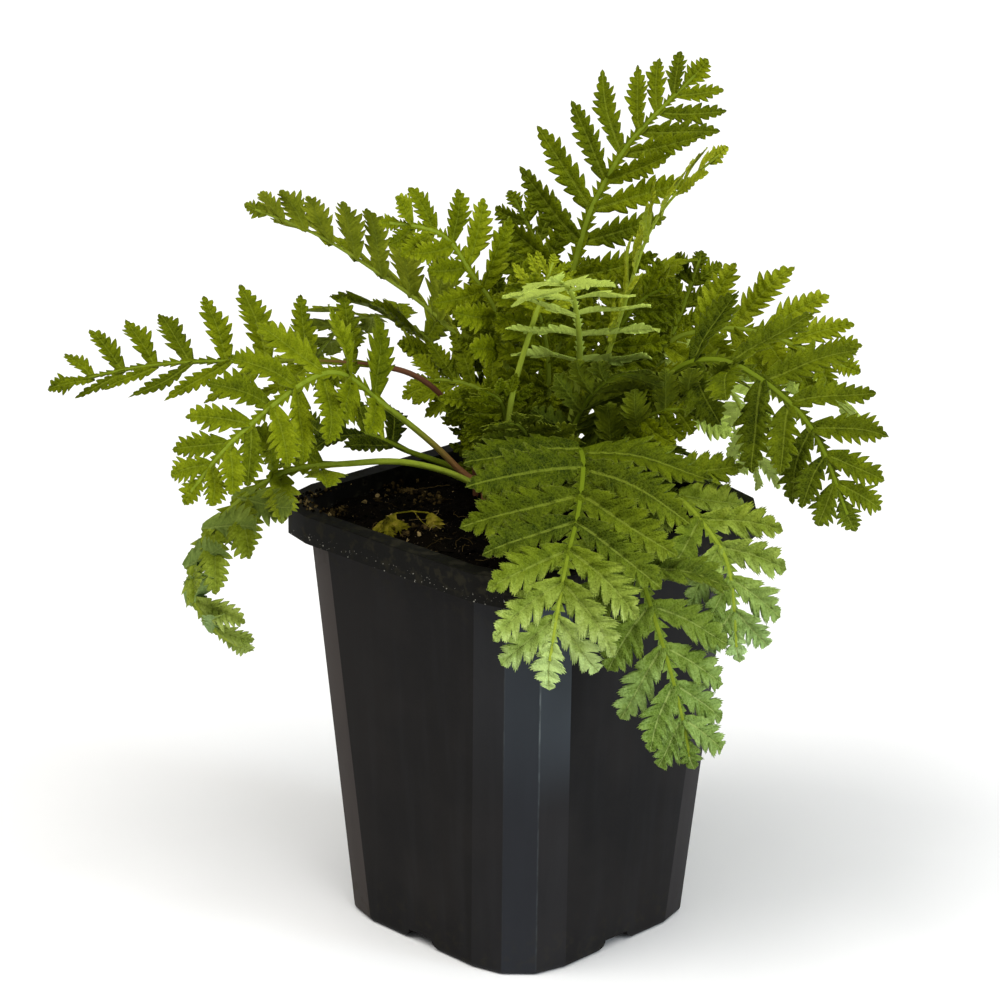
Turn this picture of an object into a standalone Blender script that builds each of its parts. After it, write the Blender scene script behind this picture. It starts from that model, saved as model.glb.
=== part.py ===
"""Potted tansy: a square nursery pot, its soil and a clump of feathery leaves.

Metres, +Z up. The origin is the middle of the pot's foot, on the surface it stands on.
The pot stands with one corner towards -Y. Leaf routes and sizes are in millimetres.
"""
import math
import random

import bmesh
import bpy
from mathutils import Matrix, Vector
from mathutils.bvhtree import BVHTree

MM = 0.001
GAP = 0.3

# Pot
POT_TURN = math.radians(45.3)
POT_HEIGHT = 152.4
FOOT_HALF = 48.4
BODY_HALF = 59.4
RIM_HALF = 65.0
CORNER_RADIUS = 23.0
RIM_RADIUS = 24.2
CORNER_FACETS = 3
WALL = 1.3
RIM_CHAMFER = 0.8
SKIRT_DEPTH = 10.0
FOOT_ROUND = 2.3
FLOOR_THICK = 1.5
CHANNEL_HEIGHT = 4.0
CHANNEL_TOP_HALF = 5.5
CHANNEL_FOOT_HALF = 12.5
PAD_RADIUS = 12.0
DRAIN_RADIUS = 4.0
DRAIN_OFFSET = 24.0

# Soil
SOIL_TOP = 147.0
SOIL_BUMP = 2.2
SOIL_CELLS = 11
HOLE_RADIUS = 2.6
HOLE_DEPTH = 8.0

# Leaves
STALK_WIDTH = 3.0
STALK_THICK = 1.9
STALK_FOOT = SOIL_TOP - HOLE_DEPTH + GAP
UPRIGHT_TOP = SOIL_TOP + 3.5
BARE_STEP = 17.0
SPAN_STEPS = 8
WING_HALF = 2.3
BLADE_THICK = 0.66
CLEAR = 0.42

# Leaflets: spacing shrinks and the angle closes from the leaf's first pair to its tip
SPACING_TAPER = 0.32
FIRST_GAP = 0.4
TIP_GAP = 1.1
FIRST_ANGLE = 68.0
ANGLE_CLOSING = 30.0
LEAFLET_FILL = 0.96
WIDEST_LEAFLET = 0.52
SHORTEST_LEAFLET = 0.34
TIP_LENGTH = 0.30
TIP_WIDTH = 0.62
LARGE_LEAFLET = 29.0
SMALL_LEAFLET = 9.0

# Each leaf: where its stalk leaves the soil, the points it passes, the way its upper side
# faces where the leaflets begin, the bare share of its length, its longest leaflet, the
# pairs of leaflets, their fold and droop, how far each turns about its own rib, and how far
# those on one side lean up and ahead.
FRONDS = {
    "front": dict(
        foot=(4, 8), route=[(15, 6, 162), (18, -10, 175), (20, -32, 177), (18, -60, 169),
                            (14, -83, 160), (11, -96, 147), (8, -102, 127)],
        facing=(0.05, 0.6, 0.8), bare=0.20, longest=50, pairs=8, fold=2, droop=10, turn=-34),
    "front_right": dict(
        foot=(12, 8), route=[(23, 2, 162), (36, -16, 169), (51, -36, 167), (61, -50, 160),
                             (68, -60, 149), (71, -70, 121)],
        facing=(0.1, -0.5, 0.9), bare=0.30, longest=33, pairs=7, fold=6, droop=12, turn=-25),
    "right_fall": dict(
        foot=(8, 1), route=[(16, -11, 158), (26, -36, 161), (36, -68, 155), (44, -82, 136),
                            (51, -88, 113), (56, -89, 90)],
        facing=(0.1, -0.5, 0.9), bare=0.42, longest=34, pairs=6, fold=4, droop=10),
    "left_low": dict(
        foot=(-13, 14), route=[(-22, 12, 160), (-32, 6, 172), (-47, -6, 188),
                               (-66, -24, 205), (-93, -56, 193), (-110, -75, 176)],
        facing=(-0.2, -0.6, 0.8), bare=0.38, longest=31, pairs=8, fold=12, droop=16),
    "right_low": dict(
        foot=(19, 21), route=[(34, 18, 169), (47, 10, 192), (59, 2, 203), (75, -8, 203),
                              (96, -28, 189), (109, -49, 161)],
        facing=(0.1, -0.6, 0.8), bare=0.44, longest=36, pairs=7, fold=8, droop=14),
    "top": dict(
        foot=(6, 34), route=[(13, 40, 203), (21, 46, 238), (27, 50, 252), (38, 55, 269),
                             (62, 65, 292)],
        facing=(-0.25, -0.85, 0.45), bare=0.46, longest=38, pairs=8, fold=10, droop=12),
    "left_far": dict(
        foot=(-16, 22), route=[(-22, 18, 176), (-37, 11, 194), (-60, 2, 201), (-97, -4, 203),
                               (-128, -8, 202), (-161, -14, 196)],
        facing=(0.0, -0.25, 1.0), bare=0.42, longest=31, pairs=8, fold=32, droop=10,
        lean={1: (-50, 20), -1: (10, -22)}),
    "left_high": dict(
        foot=(-8, 36), route=[(-16, 37, 190), (-31, 40, 208), (-52, 46, 222), (-74, 52, 234),
                              (-99, 56, 243)],
        facing=(0.3, 0.5, 0.8), bare=0.36, longest=28, pairs=8, fold=34, droop=8),
    "top_right": dict(
        foot=(12, 24), route=[(24, 24, 182), (33, 22, 212), (42, 18, 243), (53, 13, 261),
                              (68, 8, 276)],
        facing=(-0.9, 0.1, 0.4), bare=0.42, longest=26, pairs=7, fold=14, droop=10,
        lean={1: (0, 20), -1: (0, 20)}),
    "young_pale": dict(
        foot=(4, 16), route=[(15, 13, 171), (19, 8, 199), (18, 0, 218), (15, -12, 231),
                             (9, -30, 240)],
        facing=(0.1, 0.2, 1.0), bare=0.50, longest=31, pairs=6, fold=0, droop=10, turn=-44,
        lean={1: (-4, -16), -1: (-4, -16)}),
    "right_high": dict(
        foot=(19, 29), route=[(31, 31, 169), (48, 32, 198), (63, 30, 206), (83, 24, 207),
                              (114, 8, 198)],
        facing=(0.0, -0.45, 0.9), bare=0.36, longest=34, pairs=7, fold=14, droop=18),
    "left_arch": dict(
        foot=(-6, 22), route=[(-5, 24, 182), (-9, 20, 212), (-18, 15, 229), (-29, 9, 245),
                              (-49, -3, 252)],
        facing=(0.4, -0.5, 0.7), bare=0.42, longest=27, pairs=7, fold=22, droop=14),
    "left_curl": dict(
        foot=(-11, 7), route=[(-22, 4, 160), (-39, -6, 168), (-56, -16, 171), (-82, -34, 172),
                              (-104, -48, 157), (-110, -55, 140), (-102, -56, 125),
                              (-90, -52, 115)],
        facing=(-0.2, -0.5, 0.9), bare=0.42, longest=29, pairs=7, fold=20, droop=26),
    "inner_left": dict(
        foot=(-3, 13), route=[(-2, 14, 168), (-7, 16, 181), (-16, 21, 187), (-27, 27, 188),
                              (-39, 32, 186)],
        facing=(0.0, -0.25, 0.95), bare=0.36, longest=26, pairs=6, fold=8, droop=14),
    "back_up": dict(
        foot=(-1, 40), route=[(5, 44, 177), (9, 52, 203), (8, 60, 221), (-5, 70, 246)],
        facing=(-0.2, -0.9, 0.3), bare=0.44, longest=25, pairs=6, fold=12, droop=20),
    "right_up": dict(
        foot=(13, 36), route=[(31, 46, 161), (46, 62, 179), (56, 78, 195), (66, 98, 218)],
        facing=(-0.3, -0.8, 0.5), bare=0.38, longest=25, pairs=6, fold=12, droop=10),
    "right_edge": dict(
        foot=(17, 13), route=[(21, 12, 163), (31, 6, 170), (41, 0, 177), (60, -6, 195),
                              (77, -10, 204)],
        facing=(-0.4, 0.5, 0.7), bare=0.20, longest=25, pairs=6, fold=42, droop=8),
    "left_dark": dict(
        foot=(-17, 31), route=[(-25, 28, 156), (-40, 29, 161), (-60, 35, 166), (-95, 46, 157)],
        facing=(0.0, -0.2, 1.0), bare=0.42, longest=25, pairs=6, fold=15, droop=20),
    "back_pale": dict(
        foot=(20, 37), route=[(35, 44, 161), (54, 62, 173), (73, 76, 173), (84, 86, 153),
                              (89, 92, 127)],
        facing=(0.3, 0.4, 0.9), bare=0.38, longest=30, pairs=6, fold=8, droop=16),
    "right_pale": dict(
        foot=(26, 24), route=[(42, 36, 169), (63, 50, 184), (86, 60, 186), (106, 68, 176),
                              (127, 74, 156)],
        facing=(0.2, 0.3, 0.9), bare=0.40, longest=30, pairs=6, fold=10, droop=18),
    "back_left": dict(
        foot=(-8, 44), route=[(-20, 52, 176), (-40, 68, 196), (-62, 84, 194), (-80, 98, 172)],
        facing=(-0.2, 0.3, 0.9), bare=0.34, longest=32, pairs=6, fold=10, droop=16),
    "back_mid": dict(
        foot=(0, 48), route=[(2, 58, 182), (4, 78, 200), (2, 98, 192), (-2, 114, 166)],
        facing=(0.0, 0.3, 1.0), bare=0.34, longest=32, pairs=6, fold=10, droop=14),
    "back_right": dict(
        foot=(8, 44), route=[(20, 56, 182), (34, 76, 206), (46, 94, 208), (60, 112, 190)],
        facing=(0.2, 0.3, 0.9), bare=0.36, longest=31, pairs=6, fold=12, droop=14),
    "young_tuft": dict(
        foot=(-9, 29), route=[(-11, 29, 160), (-14, 28, 170), (-17, 27, 180)],
        facing=(0.2, -0.9, 0.3), bare=0.36, longest=10, pairs=5, fold=10, droop=10),
}

POT_COLOUR = (0.012, 0.012, 0.013, 1.0)
SOIL_COLOUR = (0.020, 0.013, 0.008, 1.0)
LEAF_COLOUR = (0.105, 0.200, 0.012, 1.0)
PALE_LEAF_COLOUR = (0.190, 0.330, 0.080, 1.0)
WITHERED_COLOUR = (0.220, 0.190, 0.040, 1.0)
PALE_FRONDS = ("young_pale", "back_pale", "right_pale")

FALLEN_START = (-26, -4, 150)
FALLEN_LENGTH = 24.0


def metres(point):
    return Vector(point) * MM


def clear_scene():
    for item in list(bpy.data.objects):
        bpy.data.objects.remove(item, do_unlink=True)


def make_material(name, colour, roughness):
    material = bpy.data.materials.new(name)
    material.use_nodes = True
    shader = material.node_tree.nodes["Principled BSDF"]
    shader.inputs["Base Color"].default_value = colour
    shader.inputs["Roughness"].default_value = roughness
    shader.inputs["Metallic"].default_value = 0.0
    material.diffuse_color = colour
    return material


def add_object(name, bm, collection, material=None):
    mesh = bpy.data.meshes.new(name)
    bm.to_mesh(mesh)
    bm.free()
    item = bpy.data.objects.new(name, mesh)
    collection.objects.link(item)
    if material is not None:
        mesh.materials.append(material)
    return item


def apply_modifiers(item):
    depsgraph = bpy.context.evaluated_depsgraph_get()
    mesh = bpy.data.meshes.new_from_object(item.evaluated_get(depsgraph))
    item.modifiers.clear()
    item.data = mesh


def combine(item, other, operation="DIFFERENCE"):
    """Cut or keep the shared space with another object, which is then removed."""
    boolean = item.modifiers.new("combine", "BOOLEAN")
    boolean.operation = operation
    boolean.solver = "EXACT"
    boolean.object = other
    apply_modifiers(item)
    bpy.data.objects.remove(other, do_unlink=True)


# Pot: a square with faceted corners, lofted ring by ring
def square_ring(half, radius, height):
    """Points of one level of the pot, with each corner an arc of a few flat facets."""
    reach = half - radius
    points = []
    for corner in range(4):
        middle = math.radians(45 + 90 * corner)
        centre = Vector((math.cos(middle), math.sin(middle), 0)) * reach * math.sqrt(2)
        for facet in range(CORNER_FACETS + 1):
            angle = math.radians(90 * corner + 90 * facet / CORNER_FACETS)
            points.append(centre + Vector((math.cos(angle), math.sin(angle), 0)) * radius)
    turn = Matrix.Rotation(POT_TURN, 3, "Z")
    return [turn @ point + Vector((0, 0, height)) for point in points]


def loft(rings):
    """A closed solid through the rings, with a flat cap on the first and the last."""
    bm = bmesh.new()
    levels = [[bm.verts.new(point * MM) for point in ring] for ring in rings]
    for below, above in zip(levels, levels[1:]):
        for index, corner in enumerate(below):
            after = (index + 1) % len(below)
            bm.faces.new((corner, below[after], above[after], above[index]))
    bm.faces.new(reversed(levels[0]))
    bm.faces.new(levels[-1])
    return bm


def wall_half(height):
    return FOOT_HALF + (BODY_HALF - FOOT_HALF) * height / (POT_HEIGHT - WALL)


def box(size, centre):
    bm = bmesh.new()
    bmesh.ops.create_cube(bm, size=1.0)
    bmesh.ops.scale(bm, vec=metres(size), verts=bm.verts)
    bmesh.ops.translate(bm, vec=metres(centre), verts=bm.verts)
    bmesh.ops.rotate(bm, matrix=Matrix.Rotation(POT_TURN, 3, "Z"), verts=bm.verts)
    return bm


def inner_space(clear, top, collection):
    """What the pot's walls and raised floor leave free, shrunk by the clearance."""
    floor = FLOOR_THICK + clear
    radius = CORNER_RADIUS - WALL - clear
    low = square_ring(wall_half(floor) - WALL - clear, radius, floor)
    high = square_ring(wall_half(top) - WALL - clear, radius, top)
    space = add_object("inner_space", loft([low, high]), collection)
    rise = CHANNEL_HEIGHT + FLOOR_THICK + clear
    width = 2 * (CHANNEL_FOOT_HALF - FLOOR_THICK + clear)
    length = 4 * FOOT_HALF
    for size in ((length, width, 2 * rise), (width, length, 2 * rise)):
        combine(space, add_object("raised", box(size, (0, 0, 0)), collection))
    return space


def channel_outline():
    """Half of the channel's section, from its flat top down the rounded end of a foot."""
    spread = CHANNEL_FOOT_HALF - CHANNEL_TOP_HALF
    steps = [math.radians(angle) for angle in (90, 45, 0)]
    half = [(CHANNEL_FOOT_HALF - spread * math.sin(a), CHANNEL_HEIGHT * (1 - math.cos(a)))
            for a in steps]
    half.append((CHANNEL_FOOT_HALF, -CHANNEL_HEIGHT))
    return half


def channel(turn, collection):
    half = channel_outline()
    outline = half + [(-x, z) for x, z in reversed(half)]
    bm = bmesh.new()
    verts = [bm.verts.new(metres((x, -2 * FOOT_HALF, z))) for x, z in outline]
    face = bm.faces.new(verts)
    swept = bmesh.ops.extrude_face_region(bm, geom=[face])["geom"]
    moved = [part for part in swept if isinstance(part, bmesh.types.BMVert)]
    bmesh.ops.translate(bm, vec=metres((0, 4 * FOOT_HALF, 0)), verts=moved)
    bmesh.ops.recalc_face_normals(bm, faces=bm.faces)
    bmesh.ops.rotate(bm, matrix=Matrix.Rotation(turn, 3, "Z"), verts=bm.verts)
    item = add_object("channel", bm, collection)
    combine(item, cylinder((0, 0, 0), PAD_RADIUS, 6 * CHANNEL_HEIGHT, 12, collection))
    return item


def cylinder(centre, radius, height, sides, collection):
    bm = bmesh.new()
    bmesh.ops.create_cone(bm, cap_ends=True, segments=sides, radius1=radius * MM,
                          radius2=radius * MM, depth=height * MM)
    bmesh.ops.translate(bm, vec=metres(centre), verts=bm.verts)
    return add_object("cylinder", bm, collection)


def build_pot(collection, cutters, material):
    under_rim = POT_HEIGHT - WALL
    skirt = POT_HEIGHT - SKIRT_DEPTH
    rings = []
    for angle in (0, math.radians(45), math.radians(90)):
        inset = FOOT_ROUND * (1 - math.sin(angle))
        height = FOOT_ROUND * (1 - math.cos(angle))
        rings.append(square_ring(wall_half(height) - inset, CORNER_RADIUS - inset, height))
    rings += [
        square_ring(BODY_HALF, CORNER_RADIUS, under_rim),
        square_ring(RIM_HALF - WALL, RIM_RADIUS - WALL, under_rim),
        square_ring(RIM_HALF - WALL, RIM_RADIUS - WALL, skirt),
        square_ring(RIM_HALF, RIM_RADIUS, skirt),
        square_ring(RIM_HALF, RIM_RADIUS, POT_HEIGHT - RIM_CHAMFER),
        square_ring(RIM_HALF - RIM_CHAMFER, RIM_RADIUS - RIM_CHAMFER, POT_HEIGHT),
        square_ring(BODY_HALF - WALL, CORNER_RADIUS - WALL, POT_HEIGHT),
    ]
    pot = add_object("pot", loft(rings), collection, material)
    combine(pot, inner_space(0, POT_HEIGHT + 2, cutters))
    for quarter in range(2):
        combine(pot, channel(POT_TURN + quarter * math.pi / 2, cutters))
    for quarter in range(4):
        angle = POT_TURN + quarter * math.pi / 2
        place = (DRAIN_OFFSET * math.cos(angle), DRAIN_OFFSET * math.sin(angle), 0)
        combine(pot, cylinder(place, DRAIN_RADIUS, 6 * CHANNEL_HEIGHT, 10, cutters))
    return pot


# Soil: bumpy on top, with a plain hole for each stalk
def soil_height(x, y):
    waves = (math.sin(0.11 * x + 0.4) * math.cos(0.09 * y - 0.3)
             + 0.6 * math.sin(0.23 * x + 0.19 * y) + 0.4 * math.cos(0.31 * y - 0.17 * x))
    crown = 2.0 * math.exp(-((x - 4) ** 2 + (y - 24) ** 2) / 1100)
    return SOIL_TOP - 1 + 0.5 * SOIL_BUMP * waves + crown


def build_soil(collection, cutters, material, feet):
    bm = bmesh.new()
    bmesh.ops.create_grid(bm, x_segments=SOIL_CELLS, y_segments=SOIL_CELLS,
                          size=1.45 * BODY_HALF * MM)
    for vert in bm.verts:
        vert.co.z = soil_height(vert.co.x / MM, vert.co.y / MM) * MM
    bmesh.ops.triangulate(bm, faces=bm.faces)
    grown = bmesh.ops.extrude_face_region(bm, geom=list(bm.faces))["geom"]
    for part in grown:
        if isinstance(part, bmesh.types.BMVert):
            part.co.z = -FLOOR_THICK * MM
    bmesh.ops.recalc_face_normals(bm, faces=bm.faces)
    soil = add_object("soil", bm, collection, material)
    combine(soil, inner_space(GAP, POT_HEIGHT, cutters), "INTERSECT")
    for x, y in feet:
        middle = STALK_FOOT - GAP + 1.5 * HOLE_DEPTH
        hole = cylinder((x, y, middle), HOLE_RADIUS, 3 * HOLE_DEPTH, 6, cutters)
        combine(soil, hole)
    return soil


# Stems: a smooth curve through the route's points, with a frame carried along it
class Stem:
    """Stalk and midrib of one leaf: places, headings and upper-side directions."""

    def __init__(self, foot, route, facing, bare):
        start = Vector((foot[0], foot[1], UPRIGHT_TOP))
        knots = [start] + [Vector(point) for point in route]
        before = Vector((knots[1].x, knots[1].y, 2 * start.z - knots[1].z))
        knots = [before] + knots + [2 * knots[-1] - knots[-2]]
        self.places = [Vector((foot[0], foot[1], STALK_FOOT))]
        for index in range(1, len(knots) - 2):
            for step in range(SPAN_STEPS):
                self.places.append(spline(knots[index - 1:index + 3], step / SPAN_STEPS))
        self.places.append(knots[-2])
        self.travel = [0.0]
        for here, there in zip(self.places, self.places[1:]):
            self.travel.append(self.travel[-1] + (there - here).length)
        self.length = self.travel[-1]
        self.blade_start = bare * self.length
        self.headings = [self.heading(index) for index in range(len(self.places))]
        self.uppers = self.carry(Vector(facing))

    def heading(self, index):
        last = len(self.places) - 1
        ahead = self.places[min(index + 1, last)]
        return (ahead - self.places[max(index - 1, 0)]).normalized()

    def carry(self, facing):
        """Upper-side directions, carried both ways from where the leaflets begin."""
        first = min(range(len(self.places)), key=lambda i: abs(self.travel[i] - self.blade_start))
        upper = square_to(facing, self.headings[first])
        uppers = {first: upper}
        for index in range(first + 1, len(self.places)):
            uppers[index] = square_to(uppers[index - 1], self.headings[index])
        for index in range(first - 1, -1, -1):
            uppers[index] = square_to(uppers[index + 1], self.headings[index])
        return [uppers[index] for index in range(len(self.places))]

    def at(self, distance):
        """Place, heading and upper direction at a distance from the stalk's foot."""
        index = 0
        while index < len(self.places) - 2 and self.travel[index + 1] < distance:
            index += 1
        span = self.travel[index + 1] - self.travel[index]
        share = min(max((distance - self.travel[index]) / span, 0), 1)
        place = self.places[index].lerp(self.places[index + 1], share)
        heading = self.headings[index].lerp(self.headings[index + 1], share).normalized()
        upper = square_to(self.uppers[index].lerp(self.uppers[index + 1], share), heading)
        return place, heading, upper


def spline(knots, share):
    a, b, c, d = knots
    return 0.5 * (2 * b + (c - a) * share + (2 * a - 5 * b + 4 * c - d) * share ** 2
                  + (3 * b - a - 3 * c + d) * share ** 3)


def square_to(direction, heading):
    return (direction - direction.dot(heading) * heading).normalized()


# Leaflets: toothed blades, mapped from flat (along, across) to their bent place
TEETH = {
    3: ((0.32, 0.94, 0.37, 0.58), (0.60, 1.0, 0.65, 0.58), (0.84, 0.80, 0.88, 0.40)),
    2: ((0.44, 1.0, 0.50, 0.60), (0.78, 0.88, 0.83, 0.46)),
    1: ((0.58, 1.0, 0.66, 0.60),),
}
CUPPING = math.radians(10)
FORWARD_CURVE = 0.08
BENDS = [(0, 0), (8, 0), (-8, 0), (0, 16), (0, -16), (16, 0), (-16, 0), (8, 16), (-8, -16),
         (16, 16), (-16, -16), (24, 0), (-24, 0), (24, 20), (-24, -20), (34, 0), (-34, 0),
         (34, 24), (-34, -24), (46, 0), (-46, 0)]
SHORTER = (1.0, 0.86, 0.72, 0.56)


class Leaflet:
    """One toothed blade that grows from a midrib."""

    def __init__(self, roots, along, forward, upper, length, width, droop, teeth):
        self.roots = roots
        self.base = 0.5 * (roots[0] + roots[1])
        self.along = along
        self.forward = forward
        self.upper = upper
        self.length = length
        self.width = width
        self.droop = droop
        self.teeth = teeth

    def bent(self, lift, twist, share):
        """A copy that is lifted, twisted about its own rib, and shortened."""
        lift = math.radians(lift)
        along = math.cos(lift) * self.along + math.sin(lift) * self.upper
        upper = math.cos(lift) * self.upper - math.sin(lift) * self.along
        twist = math.radians(twist)
        forward = math.cos(twist) * self.forward + math.sin(twist) * upper
        upper = math.cos(twist) * upper - math.sin(twist) * self.forward
        return Leaflet(self.roots, along, forward, upper, self.length * share,
                       self.width * math.sqrt(share), self.droop, self.teeth)

    def point(self, share, across):
        """Place and upper direction of a flat point: share of the length, mm across."""
        turn = self.droop if abs(self.droop) > 0.001 else 0.001
        angle = turn * share
        rib = (self.along * math.sin(angle) - self.upper * (1 - math.cos(angle))) / turn
        upper = math.cos(angle) * self.upper + math.sin(angle) * self.along
        place = (self.base + self.length * rib
                 + self.forward * (FORWARD_CURVE * self.length * share ** 2)
                 + self.forward * (across * math.cos(CUPPING))
                 + upper * (abs(across) * math.sin(CUPPING)))
        return place, upper

    def edge(self, side, spread=1.0):
        """Outline points on one side, as tips and notches in turn."""
        half = 0.5 * self.width * side * spread
        points = []
        for tip, tip_half, notch, notch_half in TEETH[self.teeth]:
            points.append(self.point(tip, tip_half * half))
            points.append(self.point(notch, notch_half * half))
        return points


def leaflet_faces(back, front, apex):
    """Triangles between two toothed edges that each start at the leaflet's root."""
    faces = []
    for step in range(0, len(back) - 1, 2):
        faces.append((back[step], back[step + 2], back[step + 1]))
        faces.append((front[step], front[step + 1], front[step + 2]))
        faces.append((back[step], front[step], front[step + 2]))
        faces.append((back[step], front[step + 2], back[step + 2]))
    faces.append((back[-1], front[-1], apex))
    return faces


def thick_tree(points, faces):
    """A closed, slightly thickened copy of a sheet, for telling what it would touch."""
    count = len(points)
    verts = [place + upper * reach for place, upper, reach in points]
    verts += [place - upper * reach for place, upper, reach in points]
    polygons = [list(face) for face in faces]
    polygons += [[index + count for index in reversed(face)] for face in faces]
    edges = {}
    for face in faces:
        for a, b in zip(face, face[1:] + face[:1]):
            edges[(a, b)] = True
    for a, b in edges:
        if (b, a) not in edges:
            polygons.append([a, a + count, b + count])
            polygons.append([a, b + count, b])
    return Trial(verts, polygons)


class Trial:
    """A test shape with its box, so that far ones are skipped."""

    def __init__(self, verts, polygons):
        self.tree = BVHTree.FromPolygons(verts, polygons)
        self.low = [min(vert[axis] for vert in verts) for axis in range(3)]
        self.high = [max(vert[axis] for vert in verts) for axis in range(3)]

    def touches(self, other):
        for axis in range(3):
            if self.low[axis] > other.high[axis] or other.low[axis] > self.high[axis]:
                return False
        return bool(self.tree.overlap(other.tree))


def leaflet_trial(leaflet):
    reach = 0.5 * BLADE_THICK + CLEAR
    points = []
    for root, side in zip(leaflet.roots, (-1, 1)):
        points += [(root, leaflet.upper)] + leaflet.edge(side, 1.05)
    points.append(leaflet.point(1.02, 0))
    half = (len(points) - 1) // 2
    back = list(range(half))
    front = list(range(half, 2 * half))
    faces = leaflet_faces(back, front, 2 * half)
    return thick_tree([(place, upper, reach) for place, upper in points], faces)


class Frond:
    """One whole leaf: its stem, its stations and its leaflets."""

    def __init__(self, name, foot, route, facing, bare, longest, pairs, fold, droop, turn=0,
                 lean=None):
        self.name = name
        self.foot = foot
        self.longest = longest
        self.pairs = pairs
        self.fold = math.radians(fold)
        self.droop = math.radians(droop)
        self.turn = math.radians(turn)
        self.lean = lean or {}
        self.stem = Stem(foot, route, facing, bare)
        self.random = random.Random(name)
        self.stations = self.place_stations()
        self.strip = self.strip_trial()
        self.leaflets = {}

    def place_stations(self):
        """Distances, half widths and thicknesses of the strip from foot to tip."""
        start = self.stem.blade_start
        stub = UPRIGHT_TOP - STALK_FOOT
        bare_steps = max(2, round((start - stub) / BARE_STEP))
        stations = [(0.0, 0.5 * STALK_WIDTH, STALK_THICK)]
        for step in range(bare_steps):
            distance = stub + (start - 3 - stub) * step / bare_steps
            stations.append((distance, 0.5 * STALK_WIDTH, STALK_THICK))
        self.first_pair = len(stations)
        blade = self.stem.length - start
        self.spacings = []
        places = self.pairs + TIP_GAP
        for pair in range(self.pairs):
            share = pair / self.pairs
            reach = (pair + FIRST_GAP) / places
            middle = start + blade * reach * (1 + SPACING_TAPER * (1 - reach))
            spacing = blade * (1 + SPACING_TAPER * (1 - 2 * reach)) / places
            self.spacings.append(spacing)
            base = min(0.19 * spacing, 0.08 * self.longest)
            half = max(WING_HALF * (1 - 0.5 * share) * min(1, self.longest / 30), 0.9)
            for distance in (middle - base, middle + base):
                stations.append((distance, half, STALK_THICK * (0.8 - 0.35 * share)))
        end = stations[-1][0] + 0.45 * self.spacings[-1]
        stations.append((end, 1.0, STALK_THICK * 0.42))
        self.tip_length = self.stem.length - end
        return stations

    def strip_point(self, station, side):
        distance, half, thick = self.stations[station]
        place, heading, upper = self.stem.at(distance)
        left = upper.cross(heading)
        return place + left * (side * half), upper, 0.5 * thick

    def strip_trial(self):
        points = []
        faces = []
        for index in range(len(self.stations)):
            for side in (1, -1):
                place, upper, reach = self.strip_point(index, 1.15 * side)
                points.append((place, upper, reach + CLEAR))
            if index:
                a, b, c, d = (2 * index + offset for offset in (-2, -1, 1, 0))
                faces += [(a, b, c), (a, c, d)]
        return thick_tree(points, faces)

    def nominal(self, pair, side):
        """The leaflet as it would grow with nothing in its way."""
        share = pair / self.pairs
        station = self.first_pair + 2 * pair
        near = self.strip_point(station, side)[0]
        far = self.strip_point(station + 1, side)[0]
        middle = 0.5 * (self.stations[station][0] + self.stations[station + 1][0])
        _, heading, upper = self.stem.at(middle)
        left = upper.cross(heading)
        jitter = [self.random.uniform(-1, 1) for _ in range(4)]
        lift, ahead = self.lean.get(side, (0, 0))
        angle = math.radians(FIRST_ANGLE - ANGLE_CLOSING * share - ahead + 4 * jitter[0])
        fold = self.fold + math.radians(lift + 4 * jitter[1])
        out = math.cos(fold) * side * left + math.sin(fold) * upper
        along = math.cos(angle) * heading + math.sin(angle) * out
        forward = square_to(heading, along)
        face = side * forward.cross(along)
        turned = math.cos(self.turn) * forward + math.sin(self.turn) * face
        face = math.cos(self.turn) * face - math.sin(self.turn) * forward
        profile = (1 - share) ** 0.5 * (0.82 + 0.18 * min(1, share / 0.25))
        length = self.longest * max(profile, SHORTEST_LEAFLET) * (1 + 0.05 * jitter[2])
        room = LEAFLET_FILL * self.spacings[pair] * math.sin(angle)
        width = min(room, WIDEST_LEAFLET * length)
        droop = self.droop * (1 + 0.5 * jitter[3])
        teeth = 3 if length > LARGE_LEAFLET else 2 if length > SMALL_LEAFLET else 1
        return Leaflet((near, far), along, turned, face, length, width, droop, teeth)

    def tip(self):
        _, heading, upper = self.stem.at(self.stations[-1][0])
        roots = [self.strip_point(-1, side)[0] for side in (-1, 1)]
        length = max(self.tip_length, TIP_LENGTH * self.longest)
        teeth = 2 if length > SMALL_LEAFLET else 1
        return Leaflet(roots, heading, upper.cross(heading), upper, length, TIP_WIDTH * length,
                       0.5 * self.droop, teeth)

    def grow(self, obstacles):
        """Place each leaflet where it is clear: bent first, then shorter, else left out."""
        for pair in range(self.pairs):
            for side in (1, -1):
                nominal = self.nominal(pair, side)
                self.settle((pair, side), nominal, obstacles)
        self.settle(("tip", 0), self.tip(), obstacles)

    def settle(self, key, nominal, obstacles):
        for share in SHORTER:
            for lift, twist in BENDS:
                leaflet = nominal.bent(lift, twist, share)
                trial = leaflet_trial(leaflet)
                others = (other for other in obstacles if other is not self.strip)
                if not any(trial.touches(other) for other in others):
                    obstacles.append(trial)
                    self.leaflets[key] = leaflet
                    return

    def build(self, collection, material):
        bm = bmesh.new()
        depth = bm.verts.layers.float.new("thick")

        def add(place, thick):
            vert = bm.verts.new(place * MM)
            vert[depth] = thick
            return vert

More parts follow.
